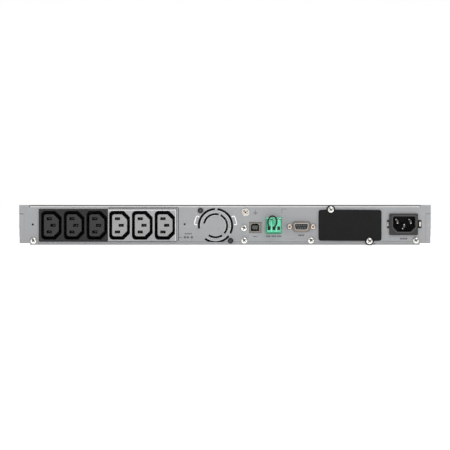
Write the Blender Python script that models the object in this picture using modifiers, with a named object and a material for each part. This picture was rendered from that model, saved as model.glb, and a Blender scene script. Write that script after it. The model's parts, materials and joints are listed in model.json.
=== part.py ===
"""One-rack-unit uninterruptible power supply, built as separate pieces.

Units are metres and +Z is up. The origin is the middle of the underside. The socket panel
faces -Y, the bezel with the display faces +Y, and X runs across the rack.
"""

import math

import bmesh
import bpy
from mathutils import Matrix

# ---------------------------------------------------------------- driving dimensions
CASE_WIDTH = 0.438
CASE_HEIGHT = 0.0432
CASE_DEPTH = 0.509
RACK_WIDTH = 0.4826

SHEET = 0.001
PANEL_THICK = 0.0012
GAP = 0.0003
# Joined pieces reach into each other by LAP and are set in from each other's edges by TUCK.
LAP = 0.0005
TUCK = 0.0002
# Cutters stand clear of what they cut.
CUT_CLEAR = 0.001
CUT_REACH = 0.010

HALF_WIDTH = CASE_WIDTH / 2
REAR_Y = -CASE_DEPTH / 2
FACE_Y = CASE_DEPTH / 2
BEZEL_DEPTH = 0.027
BULKHEAD_Y = FACE_Y - BEZEL_DEPTH - GAP
CASE_FRONT_Y = BULKHEAD_Y - PANEL_THICK - GAP

# The lower edges are stepped so that the case clears the ledges of the rack rails.
STEP_X = 0.2072
STEP_Z = 0.0023
COVER_HALF = 0.2076
TRAY_TOP_FLANGE_X = COVER_HALF + 0.0006
COVER_LIP = 0.006

PANEL_HALF = 0.2129
PANEL_TOP = CASE_HEIGHT - SHEET - GAP
PANEL_RISE = 0.0002
SIDE_TAB_Z = 0.0339
SIDE_RETURN_X = 0.2136
SIDE_RETURN_DEPTH = 0.0025
RELIEF = 0.0014
PANEL_FLANGE_DEPTH = 0.010
PANEL_FLANGE_DROP = 0.0001
PASSAGE_HALF = 0.020
PASSAGE_Z = (0.012, 0.030)

# Six appliance outlets in two blocks. Each outlet is given about its own centre.
OUTLET_FIRST_X = -0.1847
OUTLET_PITCH = 0.02418
OUTLET_Z = 0.0216
BLOCK_CENTRES_X = (-0.1614, -0.08815)
BLOCK_SIZE = (0.0728, 0.0340)
BLOCK_PROUD = 0.0015
BLOCK_DEPTH = 0.016
WELL_SIZE = (0.0214, 0.0299)
WELL_ROUND = 0.0038
WELL_CHAMFER = 0.0061
NOSE_SIZE = (0.0160, 0.0236)
NOSE_ROUND = 0.0024
NOSE_CHAMFER = 0.0056
CORE_BASE = (0.0232, 0.0325, 0.003)
SLOT_SIZE = (0.0051, 0.0022)
SLOT_POWER_X = -0.0022
SLOT_EARTH_X = 0.0018
SLOT_POWER_Z = 0.00705

# Cooling fan behind two rings of slots.
FAN_CENTRE = (-0.0101, 0.0212)
FAN_SIZE = 0.039
FAN_THICK = 0.020
FAN_HOLE_PITCH = 0.032
FAN_BORE = 0.0189
FAN_ROUND = 0.003
FAN_SPIDER = 0.002
FAN_HUB = 0.0085
FAN_SPOKES_DEG = (0, 120, 240)
FAN_SPOKE_HALF_DEG = 8
GRILLE_OUTER = (0.0167, 0.0188, ((92, 190), (-27, 83), (-128, -38)))
GRILLE_INNER = (0.0112, 0.0132, ((75, 169), (-41, 64), (-125, -56)))
GRILLE_FLOOR_Z = 0.0037
ROTOR_HUB = 0.009
ROTOR_TIP = 0.0175
ROTOR_HALF = 0.007
ROTOR_CHAMFER = 0.001
BLADE_COUNT = 7
BLADE_PITCH_DEG = 35
BLADE_CHORD = 0.012
BLADE_THICK = 0.001
BLADE_SINK = 0.0012

# A pan head's profile: share of its radius, share of its rise.
PAN_RISE = 0.66
PAN_PROFILE = ((0.0, 1.0), (0.5, 0.95), (0.85, 0.7), (1.0, 0.25))

# Small screws: name, place on the panel, and how far the head stands off the panel.
SCREW_HEAD = 0.0035
SCREW_LENGTH = 0.006
SCREW_SHANK = 0.0017
SCREW_HOLE = 0.0020
COVER_THICK = 0.0012
COVER_STACK = COVER_THICK + GAP
PANEL_SCREWS = {
    "panel_screw_left": (-0.2038, 0.0053, 0.0),
    "panel_screw_upper": (0.0202, 0.0187, 0.0),
    "panel_screw_lower": (0.0204, 0.0056, 0.0),
    "panel_screw_middle": (0.0915, 0.0056, 0.0),
    "panel_screw_right": (0.2031, 0.0057, 0.0),
    "slot_screw_upper": (0.1126, 0.0382, COVER_STACK),
    "slot_screw_lower": (0.1536, 0.0049, COVER_STACK),
}
EARTH_SCREW = (0.0218, 0.0354)
EARTH_HEAD = 0.00415
EARTH_LENGTH = 0.008
FAN_SCREW_HEAD = 0.00295
FAN_SCREW_SHANK = 0.0015
FAN_SCREW_LENGTH = 0.010
PILOT_HOLES = ((-0.2045, 0.0225), (-0.0429, 0.0227))
PILOT_RADIUS = 0.00115

# USB-B socket.
USB_CENTRE = (0.0323, 0.0192)
USB_SHELL = (0.0121, 0.0109)
USB_SHELL_CHAMFER = 0.0006
USB_OPENING = (0.0085, 0.0077)
USB_OPENING_CHAMFER = 0.0016
USB_OPENING_OFFSET = (-0.0004, 0.0002)
USB_TONGUE = (0.0061, 0.0040)
USB_TONGUE_FRONT = 0.001
USB_TONGUE_BACK = 0.002
USB_PROUD = 0.0008
USB_DEPTH = 0.014

# Pluggable terminal block, three ways.
TERMINAL_CENTRE = (0.05185, 0.02145)
TERMINAL_SIZE = (0.0163, 0.0171)
TERMINAL_WALL = 0.0006
TERMINAL_TOP_WALL = 0.0022
TERMINAL_PROUD = 0.0008
TERMINAL_DEPTH = 0.011
TERMINAL_PITCH = 0.00508
TERMINAL_MOUTH = (0.0036, 0.0042)
TERMINAL_MOUTH_Z = 0.0187
TERMINAL_MOUTH_DEPTH = 0.006
PLUG_PROUD = 0.0080
PLUG_BACK = 0.0060
LINK_RADIUS = 0.00085
LINK_STEPS = 26

# Nine-way serial socket, wide side up.
SERIAL_CENTRE = (0.0811, 0.0201)
SERIAL_RING = (0.0193, 0.0112)
SERIAL_TUBE = (0.0155, 0.0071)
SERIAL_INSERT = (0.0136, 0.0052)
SERIAL_INSERT_DEPTH = 0.008
SERIAL_SEAM = 0.00002
SERIAL_TUBE_OUT = 0.0056
SERIAL_RING_THICK = 0.0008
SERIAL_SLANT = 0.176
JACK_PITCH = 0.0250
JACK_HOLE = 0.0019
JACK_RADIUS = 0.0027
JACK_OUT = 0.0048
JACK_SHANK = 0.0015
JACK_SHANK_LENGTH = 0.005
JACK_BORE = 0.0011
JACK_BORE_FLOOR = 0.001

# Blanking plate over the slot for a communications card.
SLOT_COVER_CENTRE = (0.13295, 0.0215)
SLOT_COVER_SIZE = (0.0669, 0.0328)
SLOT_COVER_ROUND = 0.0023
SLOT_TAB_RADIUS = 0.0047
SLOT_OPENING = (0.060, 0.024)
CAGE_MARGIN = 0.001
CAGE_DEPTH = 0.110

# Mains inlet.
INLET_FLANGE_CENTRE = (0.18995, 0.02255)
INLET_FLANGE = (0.0305, 0.0229)
INLET_CENTRE = (0.1905, 0.0229)
INLET_CAVITY = (0.0238, 0.0164)
INLET_CHAMFER = 0.0048
INLET_WALL = 0.0015
INLET_ROUND = 0.001
INLET_PROUD = 0.002
INLET_CAVITY_DEPTH = 0.0155
INLET_BODY_DEPTH = 0.018
INLET_PIN = (0.002, 0.004)
INLET_PIN_ROUND = 0.0004
INLET_PIN_TIP = 0.0005
INLET_PIN_X = 0.007
INLET_PIN_Z = 0.0022
INLET_EARTH_Z = -0.0018
CLIP_HEIGHT = 0.0088
CLIP_LEFT = (0.1722, 0.1750)
CLIP_RIGHT = (0.2052, 0.2091)
CLIP_THICK = 0.0005
CLIP_ROOT_DEPTH = 0.008
CLIP_BEND = 0.0014
CLIP_BEND_DEPTH = 0.0006

# Battery drawer and its bay, on the -X side.
BAY_RIGHT_X = 0.0005
BAY_BACK_Y = -0.102
BAY_CLEARANCE = 0.0005
DRAWER_X = (-0.2045, -0.0035)
DRAWER_Y = (-0.0830, 0.2325)
DRAWER_Z = (0.0018, 0.0390)
PACK_INSET = 0.0014
PACK_TOP = 0.0375
PACK_GROOVE = 0.004
PACK_GROOVE_DEPTH = 0.003
CONNECTOR_SIZE = (0.032, 0.015)
CONNECTOR_ROUND = 0.002
CONNECTOR_MARGIN = 0.001
CONNECTOR_DEPTH = 0.015
CONNECTOR_X = -0.103
CONNECTOR_Z = 0.0205

# Bezel, display and buttons, on the +X side of the front.
BEZEL_SPLIT_X = 0.0005
BEZEL_SEAM = 0.0008
BEZEL_Z = (0.0005, 0.0427)
BEZEL_WALL = 0.0025
BEZEL_SKIN = 0.003
BEZEL_ROUND = 0.002
WINDOW_CENTRE = (0.134, 0.0216)
WINDOW_SIZE = (0.084, 0.0255)
WINDOW_ROUND = 0.0015
LENS_DEPTHS = (0.0024, 0.0004)
KEY_SIZE = 0.009
KEY_ROUND = 0.002
KEY_NAMES = ("key_escape", "key_down", "key_up", "key_enter")
KEY_FIRST_X = 0.078
KEY_PITCH = 0.014
KEY_Z = 0.0216
KEY_PROUD = 0.0008
KEY_LENGTH = 0.013
POWER_X = 0.198
POWER_RADIUS = 0.0065
KEY_GAP = 0.0004
VENT_SIZE = (0.0026, 0.026)
VENT_PITCH = 0.0062
DRAWER_VENTS = 29
DRAWER_VENTS_X = -0.107
BEZEL_VENTS = 3
BEZEL_VENTS_X = 0.0165

# Rack ears, with the two oblong slots of a one-unit panel.
EAR_THICK = 0.002
EAR_LENGTH = 0.085
EAR_FACE_Y = 0.240
EAR_Z = (0.0006, 0.0426)
EAR_SLOT = (0.0103, 0.0068)
EAR_SLOT_FLAT = 0.0001
EAR_SLOT_X = 0.23255
EAR_SLOT_PITCH = 0.03175

# Electronics.
BOARD_THICK = 0.0016
BOARD_Z = 0.0062
BOARD_TOP = BOARD_Z + BOARD_THICK / 2
BOARD_X = (-0.200, 0.210)
BOARD_FRONT_Y = 0.205
BOARD_BAY_X = 0.006
BOARD_BAY_MARGIN = 0.004
BOARD_JOG_X = 0.014
BOARD_OUTLET_MARGIN = 0.024
BOARD_BACK_MARGIN = 0.020
BOARD_HOLE = 0.0016
BOARD_HOLES = ((0.012, 0.195), (0.204, 0.195), (0.204, 0.0), (-0.194, -0.112), (0.204, -0.220))

TRANSFORMER_X = (0.094, 0.172)
TRANSFORMER_Y = (0.086, 0.166)
TRANSFORMER_TOP = 0.0405
COIL_SIZE = (0.046, 0.026)
COIL_ROUND = 0.006
COIL_Y = (0.073, 0.179)

HEATSINK_FINS = 6
HEATSINK_PITCH = 0.0065
HEATSINK_FIN = 0.0016
HEATSINK_BASE = 0.0035
HEATSINK_TOP = 0.0395
HEATSINK_LEFT = 0.020
HEATSINK_Y = (-0.060, 0.070)

CAPACITOR_CENTRE = (0.085, -0.040)
CAPACITOR_RADIUS = 0.0125
CAPACITOR_TOP = 0.040

DISPLAY_BOARD_X = (0.012, 0.208)
DISPLAY_BOARD_Z = (0.0065, 0.0365)
DISPLAY_BOARD_DEPTH = 0.0185

FINISHES = {
    "painted_steel": ((0.41, 0.42, 0.43), 0.45, 0.35),
    "zinc_steel": ((0.62, 0.62, 0.60), 0.35, 1.0),
    "bright_metal": ((0.75, 0.75, 0.74), 0.25, 1.0),
    "charcoal_plastic": ((0.035, 0.036, 0.038), 0.5, 0.0),
    "pale_plastic": ((0.42, 0.43, 0.43), 0.5, 0.0),
    "inlet_plastic": ((0.075, 0.077, 0.08), 0.45, 0.0),
    "black_plastic": ((0.012, 0.012, 0.013), 0.45, 0.0),
    "black_steel": ((0.016, 0.016, 0.017), 0.55, 0.2),
    "green_plastic": ((0.03, 0.42, 0.19), 0.4, 0.0),
    "wire_sleeve": ((0.01, 0.01, 0.01), 0.5, 0.0),
    "key_plastic": ((0.10, 0.10, 0.11), 0.4, 0.0),
    "window_glass": ((0.02, 0.03, 0.05), 0.1, 0.0),
    "circuit_board": ((0.02, 0.16, 0.07), 0.5, 0.0),
    "winding": ((0.50, 0.22, 0.08), 0.4, 0.3),
    "aluminium": ((0.55, 0.55, 0.56), 0.35, 1.0),
    "capacitor_sleeve": ((0.02, 0.03, 0.08), 0.4, 0.0),
    "battery_case": ((0.06, 0.06, 0.065), 0.55, 0.0),
}


# ---------------------------------------------------------------- scene and materials
def clear_scene():
    for obj in list(bpy.data.objects):
        bpy.data.objects.remove(obj)


def new_collection(name):
    collection = bpy.data.collections.new(name)
    bpy.context.scene.collection.children.link(collection)
    return collection


def finish(obj, material_name):
    """Give an object its material, made once for each finish."""
    material = bpy.data.materials.get(material_name)
    if material is None:
        colour, roughness, metallic = FINISHES[material_name]
        material = bpy.data.materials.new(material_name)
        material.use_nodes = True
        shader = material.node_tree.nodes["Principled BSDF"]
        shader.inputs["Base Color"].default_value = (*colour, 1.0)
        shader.inputs["Roughness"].default_value = roughness
        shader.inputs["Metallic"].default_value = metallic
    obj.data.materials.clear()
    obj.data.materials.append(material)
    return obj


# ---------------------------------------------------------------- outlines
def cornered(width, height, cuts=((0.0, 0),) * 4, centre=(0.0, 0.0)):
    """A rectangle with cut corners, each (size, steps), from the top right anticlockwise.

    One step makes a chamfer, more steps make a round corner.
    """
    points = []
    for index, (size, steps) in enumerate(cuts):
        side_x = 1 if index in (0, 3) else -1
        side_z = 1 if index in (0, 1) else -1
        corner_x = centre[0] + side_x * (width / 2 - size)
        corner_z = centre[1] + side_z * (height / 2 - size)
        for step in range(steps + 1):
            angle = math.pi / 2 * (index + step / max(steps, 1))
            points.append((corner_x + size * math.cos(angle), corner_z + size * math.sin(angle)))
    return points


def round_corners(size, steps=3):
    return ((size, steps),) * 4


def between(low_x, high_x, low_z, high_z, cuts=((0.0, 0),) * 4):
    centre = ((low_x + high_x) / 2, (low_z + high_z) / 2)
    return cornered(high_x - low_x, high_z - low_z, cuts, centre)


def circle(centre, radius, steps=12):
    angles = [2 * math.pi * step / steps for step in range(steps)]
    return [(centre[0] + radius * math.cos(a), centre[1] + radius * math.sin(a)) for a in angles]


def arc(centre, radius, start_deg, end_deg, steps):
    points = []
    for step in range(steps + 1):
        angle = math.radians(start_deg + (end_deg - start_deg) * step / steps)
        points.append((centre[0] + radius * math.cos(angle), centre[1] + radius * math.sin(angle)))
    return points


def arc_slot(centre, inner, outer, start_deg, end_deg, floor_z):
    """A curved slot, flattened where it would run below floor_z."""
    steps = max(3, round((end_deg - start_deg) / 12))
    edge = arc(centre, outer, start_deg, end_deg, steps)
    edge += arc(centre, inner, end_deg, start_deg, steps)
    return [(x, max(z, floor_z)) for x, z in edge]


def trapezium(size, slant, centre, steps=3):
    """The D shape of a serial connector: wide side up, its corners rounded."""
    radius = size[1] * 0.23
    shape = cornered(size[0], size[1], round_corners(radius, steps), centre)
    middle_z = centre[1] + size[1] / 2
    points = []
    for x, z in shape:
        inward = (middle_z - z) * slant * (1 if x > centre[0] else -1)
        points.append((x - inward, z))
    return points


# ---------------------------------------------------------------- solids
def add_object(name, data, location=(0.0, 0.0, 0.0)):
    obj = bpy.data.objects.new(name, data)
    obj.location = location
    parts.objects.link(obj)
    return obj


def plate(name, outlines, thickness, location=(0.0, 0.0, 0.0), upright=True):
    """Outlines filled flat and given a thickness: upright in XZ, or lying in XY."""
    curve = bpy.data.curves.new(name, "CURVE")
    curve.dimensions = "2D"
    curve.fill_mode = "BOTH"
    curve.extrude = thickness / 2
    for outline in outlines:
        spline = curve.splines.new("POLY")
        spline.points.add(len(outline) - 1)
        for point, (u, v) in zip(spline.points, outline):
            point.co = (u, v, 0.0, 1.0)
        spline.use_cyclic_u = True
    obj = add_object(name, curve, location)
    if upright:
        obj.rotation_euler = (math.pi / 2, 0.0, 0.0)
    return obj


def slab(name, outlines, y_range, location=(0.0, 0.0)):
    """An upright plate between two Y planes."""
    low, high = y_range
    return plate(name, outlines, high - low, (location[0], (low + high) / 2, location[1]))


def as_mesh(obj):
    """Replace a curve or a modified object by its plain, welded mesh."""
    bpy.context.view_layer.update()
    evaluated = obj.evaluated_get(bpy.context.evaluated_depsgraph_get())
    mesh = bpy.data.meshes.new_from_object(evaluated)
    shell = bmesh.new()
    shell.from_mesh(mesh)
    bmesh.ops.remove_doubles(shell, verts=shell.verts, dist=0.000001)
    shell.to_mesh(mesh)
    shell.free()
    name = obj.name
    matrix = obj.matrix_world.copy()
    bpy.data.objects.remove(obj)
    solid = add_object(name, mesh)
    solid.name = name
    solid.matrix_world = matrix
    return solid


def box(name, low, high, open_top=False):
    """A box between two corners, with its origin in the middle."""
    shape = bmesh.new()
    bmesh.ops.create_cube(shape, size=1.0)
    size = [b - a for a, b in zip(low, high)]
    bmesh.ops.scale(shape, vec=size, verts=shape.verts)
    if open_top:
        shape.normal_update()
        lids = [face for face in shape.faces if face.normal.z > 0.5]
        bmesh.ops.delete(shape, geom=lids, context="FACES")
    mesh = bpy.data.meshes.new(name)
    shape.to_mesh(mesh)
    shape.free()
    return add_object(name, mesh, [(a + b) / 2 for a, b in zip(low, high)])


def thicken(obj, thickness):
    solidify = obj.modifiers.new("thickness", "SOLIDIFY")
    solidify.thickness = thickness
    solidify.offset = -1.0
    solidify.use_even_offset = True
    return obj


def folded_sheet(name, path, low, high, thickness, upright=True):
    """A sheet folded along a path, its outer face on the path.

    An upright path is in XZ and runs along Y; otherwise it is in XY and stands along Z.
    """
    strip = bmesh.new()
    rows = []
    for end in (low, high):
        rows.append([strip.verts.new((u, end, v) if upright else (u, v, end)) for u, v in path])
    for left in range(len(path) - 1):
        quad = (rows[0][left], rows[1][left], rows[1][left + 1], rows[0][left + 1])
        strip.faces.new(quad)
    mesh = bpy.data.meshes.new(name)
    strip.to_mesh(mesh)
    strip.free()
    return thicken(add_object(name, mesh), thickness)


def turned(name, profile, location, steps=16, smooth=True):
    """A profile of (radius, height) run down its outer side and turned; its top faces -Y."""
    mesh = bpy.data.meshes.new(name)
    edges = [(i, i + 1) for i in range(len(profile) - 1)]
    mesh.from_pydata([(r, 0.0, h) for r, h in profile], edges, [])
    obj = add_object(name, mesh, location)
    obj.rotation_euler = (math.pi / 2, 0.0, 0.0)
    screw = obj.modifiers.new("turn", "SCREW")
    screw.steps = steps
    screw.render_steps = steps
    screw.use_merge_vertices = True
    screw.merge_threshold = 0.00001
    screw.use_smooth_shade = smooth
    return obj


def combine(target, other, operation):
    """Join or cut a mesh with another one, which goes to the guides."""
    parts.objects.unlink(other)
    guides.objects.link(other)
    other.hide_render = True
    other.display_type = "WIRE"
    modifier = target.modifiers.new(other.name, "BOOLEAN")
    modifier.operation = operation
    modifier.object = other
    modifier.solver = "EXACT"
    return target


def attach(obj, pivot):
    """Parent to an empty on the joint's axis, and stay where it is."""
    obj.parent = pivot
    obj.matrix_parent_inverse = Matrix.Translation(-pivot.location)
    return obj


def new_pivot(name, location):
    pivot = add_object(name, None, location)
    pivot.empty_display_size = 0.01
    return pivot


# ---------------------------------------------------------------- case
def base_tray():
    half = [(STEP_X, 0.0), (STEP_X, STEP_Z), (HALF_WIDTH, STEP_Z), (HALF_WIDTH, CASE_HEIGHT),
            (TRAY_TOP_FLANGE_X, CASE_HEIGHT)]
    path = [(-x, z) for x, z in reversed(half)] + half
    start_y = REAR_Y + PANEL_THICK + GAP
    tray = folded_sheet("base_tray", path, start_y, CASE_FRONT_Y, SHEET)
    for side, name in ((-1, "left_return"), (1, "right_return")):
        near = side * SIDE_RETURN_X
        far = side * (HALF_WIDTH - SHEET / 2)
        low = (min(near, far), REAR_Y, STEP_Z + PANEL_RISE)
        high = (max(near, far), REAR_Y + SIDE_RETURN_DEPTH, SIDE_TAB_Z - GAP)
        combine(tray, box(name, low, high), "UNION")
    finish(tray, "painted_steel")


def panel_cutouts():
    """Every opening in the socket panel."""
    cuts = []
    low_x = BLOCK_CENTRES_X[0] - BLOCK_SIZE[0] / 2 - GAP
    high_x = BLOCK_CENTRES_X[1] + BLOCK_SIZE[0] / 2 + GAP
    half_tall = BLOCK_SIZE[1] / 2 + GAP
    cuts.append(between(low_x, high_x, OUTLET_Z - half_tall, OUTLET_Z + half_tall))
    for inner, outer, spans in (GRILLE_OUTER, GRILLE_INNER):
        for start, end in spans:
            cuts.append(arc_slot(FAN_CENTRE, inner, outer, start, end, GRILLE_FLOOR_Z))
    for place in fan_screw_places().values():
        cuts.append(circle(place, SCREW_HOLE, 8))
    for x, z, _stack in PANEL_SCREWS.values():
        cuts.append(circle((x, z), SCREW_HOLE, 8))
    cuts.append(circle(EARTH_SCREW, SCREW_HOLE, 8))
    for place in PILOT_HOLES:
        cuts.append(circle(place, PILOT_RADIUS, 8))
    cuts.append(cornered(USB_SHELL[0] + 2 * GAP, USB_SHELL[1] + 2 * GAP, centre=USB_CENTRE))
    wide, tall = TERMINAL_SIZE
    cuts.append(cornered(wide + 2 * GAP, tall + 2 * GAP, centre=TERMINAL_CENTRE))
    tube = (SERIAL_TUBE[0] + 2 * GAP, SERIAL_TUBE[1] + 2 * GAP)
    cuts.append(trapezium(tube, SERIAL_SLANT, SERIAL_CENTRE))
    for side in (-1, 1):
        place = (SERIAL_CENTRE[0] + side * JACK_PITCH / 2, SERIAL_CENTRE[1])
        cuts.append(circle(place, JACK_HOLE, 8))
    cuts.append(cornered(*SLOT_OPENING, centre=SLOT_COVER_CENTRE))
    cuts.append(inlet_cutout())
    return cuts


def inlet_cutout():
    """The inlet's opening, with a notch each side for its spring clips."""
    half_wide = INLET_CAVITY[0] / 2 + INLET_WALL + GAP
    half_tall = INLET_CAVITY[1] / 2 + INLET_WALL + GAP
    left, right = INLET_CENTRE[0] - half_wide, INLET_CENTRE[0] + half_wide
    low, high = INLET_CENTRE[1] - half_tall, INLET_CENTRE[1] + half_tall
    clip_low = INLET_CENTRE[1] - CLIP_HEIGHT / 2
    clip_high = INLET_CENTRE[1] + CLIP_HEIGHT / 2
    return [(right, high), (left, high), (left, clip_high), (CLIP_LEFT[0], clip_high),
            (CLIP_LEFT[0], clip_low), (left, clip_low), (left, low), (right, low),
            (right, clip_low), (CLIP_RIGHT[1], clip_low), (CLIP_RIGHT[1], clip_high),
            (right, clip_high)]


def rear_panel():
    relief_x = COVER_HALF + RELIEF
    half = [(STEP_X, 0.0), (STEP_X, STEP_Z), (PANEL_HALF, STEP_Z + PANEL_RISE),
            (PANEL_HALF, SIDE_TAB_Z), (HALF_WIDTH, SIDE_TAB_Z + PANEL_RISE),
            (HALF_WIDTH, CASE_HEIGHT), (relief_x, CASE_HEIGHT),
            (COVER_HALF + GAP, PANEL_TOP)]
    outline = half + [(-x, z) for x, z in reversed(half)]
    panel = slab("rear_panel", [outline] + panel_cutouts(), (REAR_Y, REAR_Y + PANEL_THICK))
    panel = as_mesh(panel)
    flange_half = COVER_HALF - SHEET - 2 * GAP
    low = (-flange_half, REAR_Y + PANEL_THICK / 2, PANEL_TOP - SHEET)
    high = (flange_half, REAR_Y + PANEL_FLANGE_DEPTH, PANEL_TOP - PANEL_FLANGE_DROP)
    combine(panel, box("panel_flange", low, high), "UNION")
    finish(panel, "painted_steel")


def top_cover():
    lip_z = CASE_HEIGHT - COVER_LIP
    path = [(COVER_HALF, lip_z), (COVER_HALF, CASE_HEIGHT), (-COVER_HALF, CASE_HEIGHT),
            (-COVER_HALF, lip_z)]
    cover = folded_sheet("top_cover", path, REAR_Y, CASE_FRONT_Y, SHEET)
    low = (-CASE_WIDTH, REAR_Y - CUT_CLEAR, lip_z - CUT_CLEAR)
    high = (CASE_WIDTH, REAR_Y + PANEL_THICK + GAP, CASE_HEIGHT - SHEET)
    combine(cover, box("lip_relief", low, high), "DIFFERENCE")
    finish(cover, "painted_steel")


def front_plate():
    half = HALF_WIDTH - SHEET
    outline = between(-half, half, STEP_Z + GAP, CASE_HEIGHT - SHEET)
    doorway = between(DRAWER_X[0] - GAP, DRAWER_X[1] + GAP, STEP_Z + SHEET, DRAWER_Z[1] + 2 * GAP)
    passage = between(WINDOW_CENTRE[0] - PASSAGE_HALF, WINDOW_CENTRE[0] + PASSAGE_HALF, *PASSAGE_Z)
    bulkhead = slab("front_plate", [outline, doorway, passage],
                    (BULKHEAD_Y - PANEL_THICK, BULKHEAD_Y))
    finish(bulkhead, "zinc_steel")


def bay_divider():
    path = [(DRAWER_X[0] - BAY_CLEARANCE, BAY_BACK_Y), (BAY_RIGHT_X, BAY_BACK_Y),
            (BAY_RIGHT_X, CASE_FRONT_Y - GAP)]
    low_z, high_z = SHEET + GAP, CASE_HEIGHT - SHEET - GAP
    divider = folded_sheet("bay_divider", path, low_z, high_z, SHEET, upright=False)
    half_wide, half_tall = [size / 2 + CONNECTOR_MARGIN for size in CONNECTOR_SIZE]
    low = (CONNECTOR_X - half_wide, BAY_BACK_Y - CUT_REACH / 2, CONNECTOR_Z - half_tall)
    high = (CONNECTOR_X + half_wide, BAY_BACK_Y + CUT_REACH / 2, CONNECTOR_Z + half_tall)
    combine(divider, box("connector_window", low, high), "DIFFERENCE")
    finish(divider, "zinc_steel")


def rack_ear(name, side):
    """An angle bracket: one leg along the case, one leg out to the rack's post."""
    inner = side * (HALF_WIDTH + GAP)
    outer = side * RACK_WIDTH / 2
    path = [(inner, EAR_FACE_Y - EAR_LENGTH), (inner, EAR_FACE_Y), (outer, EAR_FACE_Y)]
    if side < 0:
        path.reverse()
    ear = folded_sheet(name, path, EAR_Z[0], EAR_Z[1], EAR_THICK, upright=False)
    middle_z = (EAR_Z[0] + EAR_Z[1]) / 2
    end = round_corners((EAR_SLOT[1] - EAR_SLOT_FLAT) / 2, 4)
    for step, level in ((-1, "lower"), (1, "upper")):
        outline = cornered(EAR_SLOT[0], EAR_SLOT[1], end)
        place = (side * EAR_SLOT_X, middle_z + step * EAR_SLOT_PITCH / 2)
        reach = (EAR_FACE_Y - CUT_REACH, EAR_FACE_Y + CUT_REACH)
        cutter = slab(name + "_slot_" + level, [outline], reach, place)
        combine(ear, as_mesh(cutter), "DIFFERENCE")
    finish(ear, "black_steel")


# ---------------------------------------------------------------- fasteners
def pan_screw(name, x, z, stand_off, head, shank, length, material_name):
    profile = [(head * out, head * PAN_RISE * up) for out, up in PAN_PROFILE]
    profile += [(head, 0.0), (shank, 0.0), (shank, -length), (0.0, -length)]
    location = (x, REAR_Y - GAP - stand_off, z)
    return finish(turned(name, profile, location, steps=14), material_name)


def fan_screw_places():
    half = FAN_HOLE_PITCH / 2
    return {"fan_screw_upper": (FAN_CENTRE[0] - half, FAN_CENTRE[1] + half),
            "fan_screw_lower": (FAN_CENTRE[0] + half, FAN_CENTRE[1] - half)}


def fasteners():
    for name, (x, z, stack) in PANEL_SCREWS.items():
        pan_screw(name, x, z, stack, SCREW_HEAD, SCREW_SHANK, SCREW_LENGTH, "bright_metal")
    pan_screw("earth_screw", *EARTH_SCREW, 0.0, EARTH_HEAD, SCREW_SHANK, EARTH_LENGTH,
              "bright_metal")
    for name, (x, z) in fan_screw_places().items():
        pan_screw(name, x, z, 0.0, FAN_SCREW_HEAD, FAN_SCREW_SHANK, FAN_SCREW_LENGTH,
                  "black_steel")


# ---------------------------------------------------------------- outlets
def well_outline(size, round_size, chamfer, centre=(0.0, 0.0)):
    """The outlet's shape: chamfered towards +X, rounded towards -X."""
    cuts = ((chamfer, 1), (round_size, 3), (round_size, 3), (chamfer, 1))
    return cornered(size[0], size[1], cuts, centre)


def outlet_block(name, group, material_name):
    outlines = [cornered(*BLOCK_SIZE, centre=(BLOCK_CENTRES_X[group], OUTLET_Z))]
    for index in range(3 * group, 3 * group + 3):
        centre = (OUTLET_FIRST_X + OUTLET_PITCH * index, OUTLET_Z)
        outlines.append(well_outline(WELL_SIZE, WELL_ROUND, WELL_CHAMFER, centre))
    block = slab(name, outlines, (REAR_Y - BLOCK_PROUD, REAR_Y + BLOCK_DEPTH))
    finish(block, material_name)


def outlet_core():
    """The nose that a plug slides over, with three blind slots, on its base."""
    outlines = [well_outline(NOSE_SIZE, NOSE_ROUND, NOSE_CHAMFER)]
    for x, z in ((SLOT_POWER_X, SLOT_POWER_Z), (SLOT_POWER_X, -SLOT_POWER_Z), (SLOT_EARTH_X, 0.0)):
        outlines.append(cornered(*SLOT_SIZE, centre=(x, z)))
    base_y = REAR_Y + BLOCK_DEPTH + GAP
    nose = as_mesh(slab("outlet_core", outlines, (REAR_Y - BLOCK_PROUD + GAP, base_y + 2 * LAP)))
    half_wide, half_tall = CORE_BASE[0] / 2, CORE_BASE[1] / 2
    low = (-half_wide, base_y, -half_tall)
    high = (half_wide, base_y + CORE_BASE[2], half_tall)
    base = box("core_base", low, high)
    core = as_mesh(combine(nose, base, "UNION"))
    mesh = core.data
    mesh.transform(core.matrix_world)
    bpy.data.objects.remove(core)
    return mesh


def outlets():
    core = outlet_core()
    groups = (("outlet_block_dark", "charcoal_plastic"), ("outlet_block_pale", "pale_plastic"))
    for group, (name, material_name) in enumerate(groups):
        outlet_block(name, group, material_name)
        mesh = core.copy()
        for index in range(3 * group, 3 * group + 3):
            x = OUTLET_FIRST_X + OUTLET_PITCH * index
            obj = add_object("outlet_core_%d" % (index + 1), mesh, (x, 0.0, OUTLET_Z))
            finish(obj, material_name)


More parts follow.
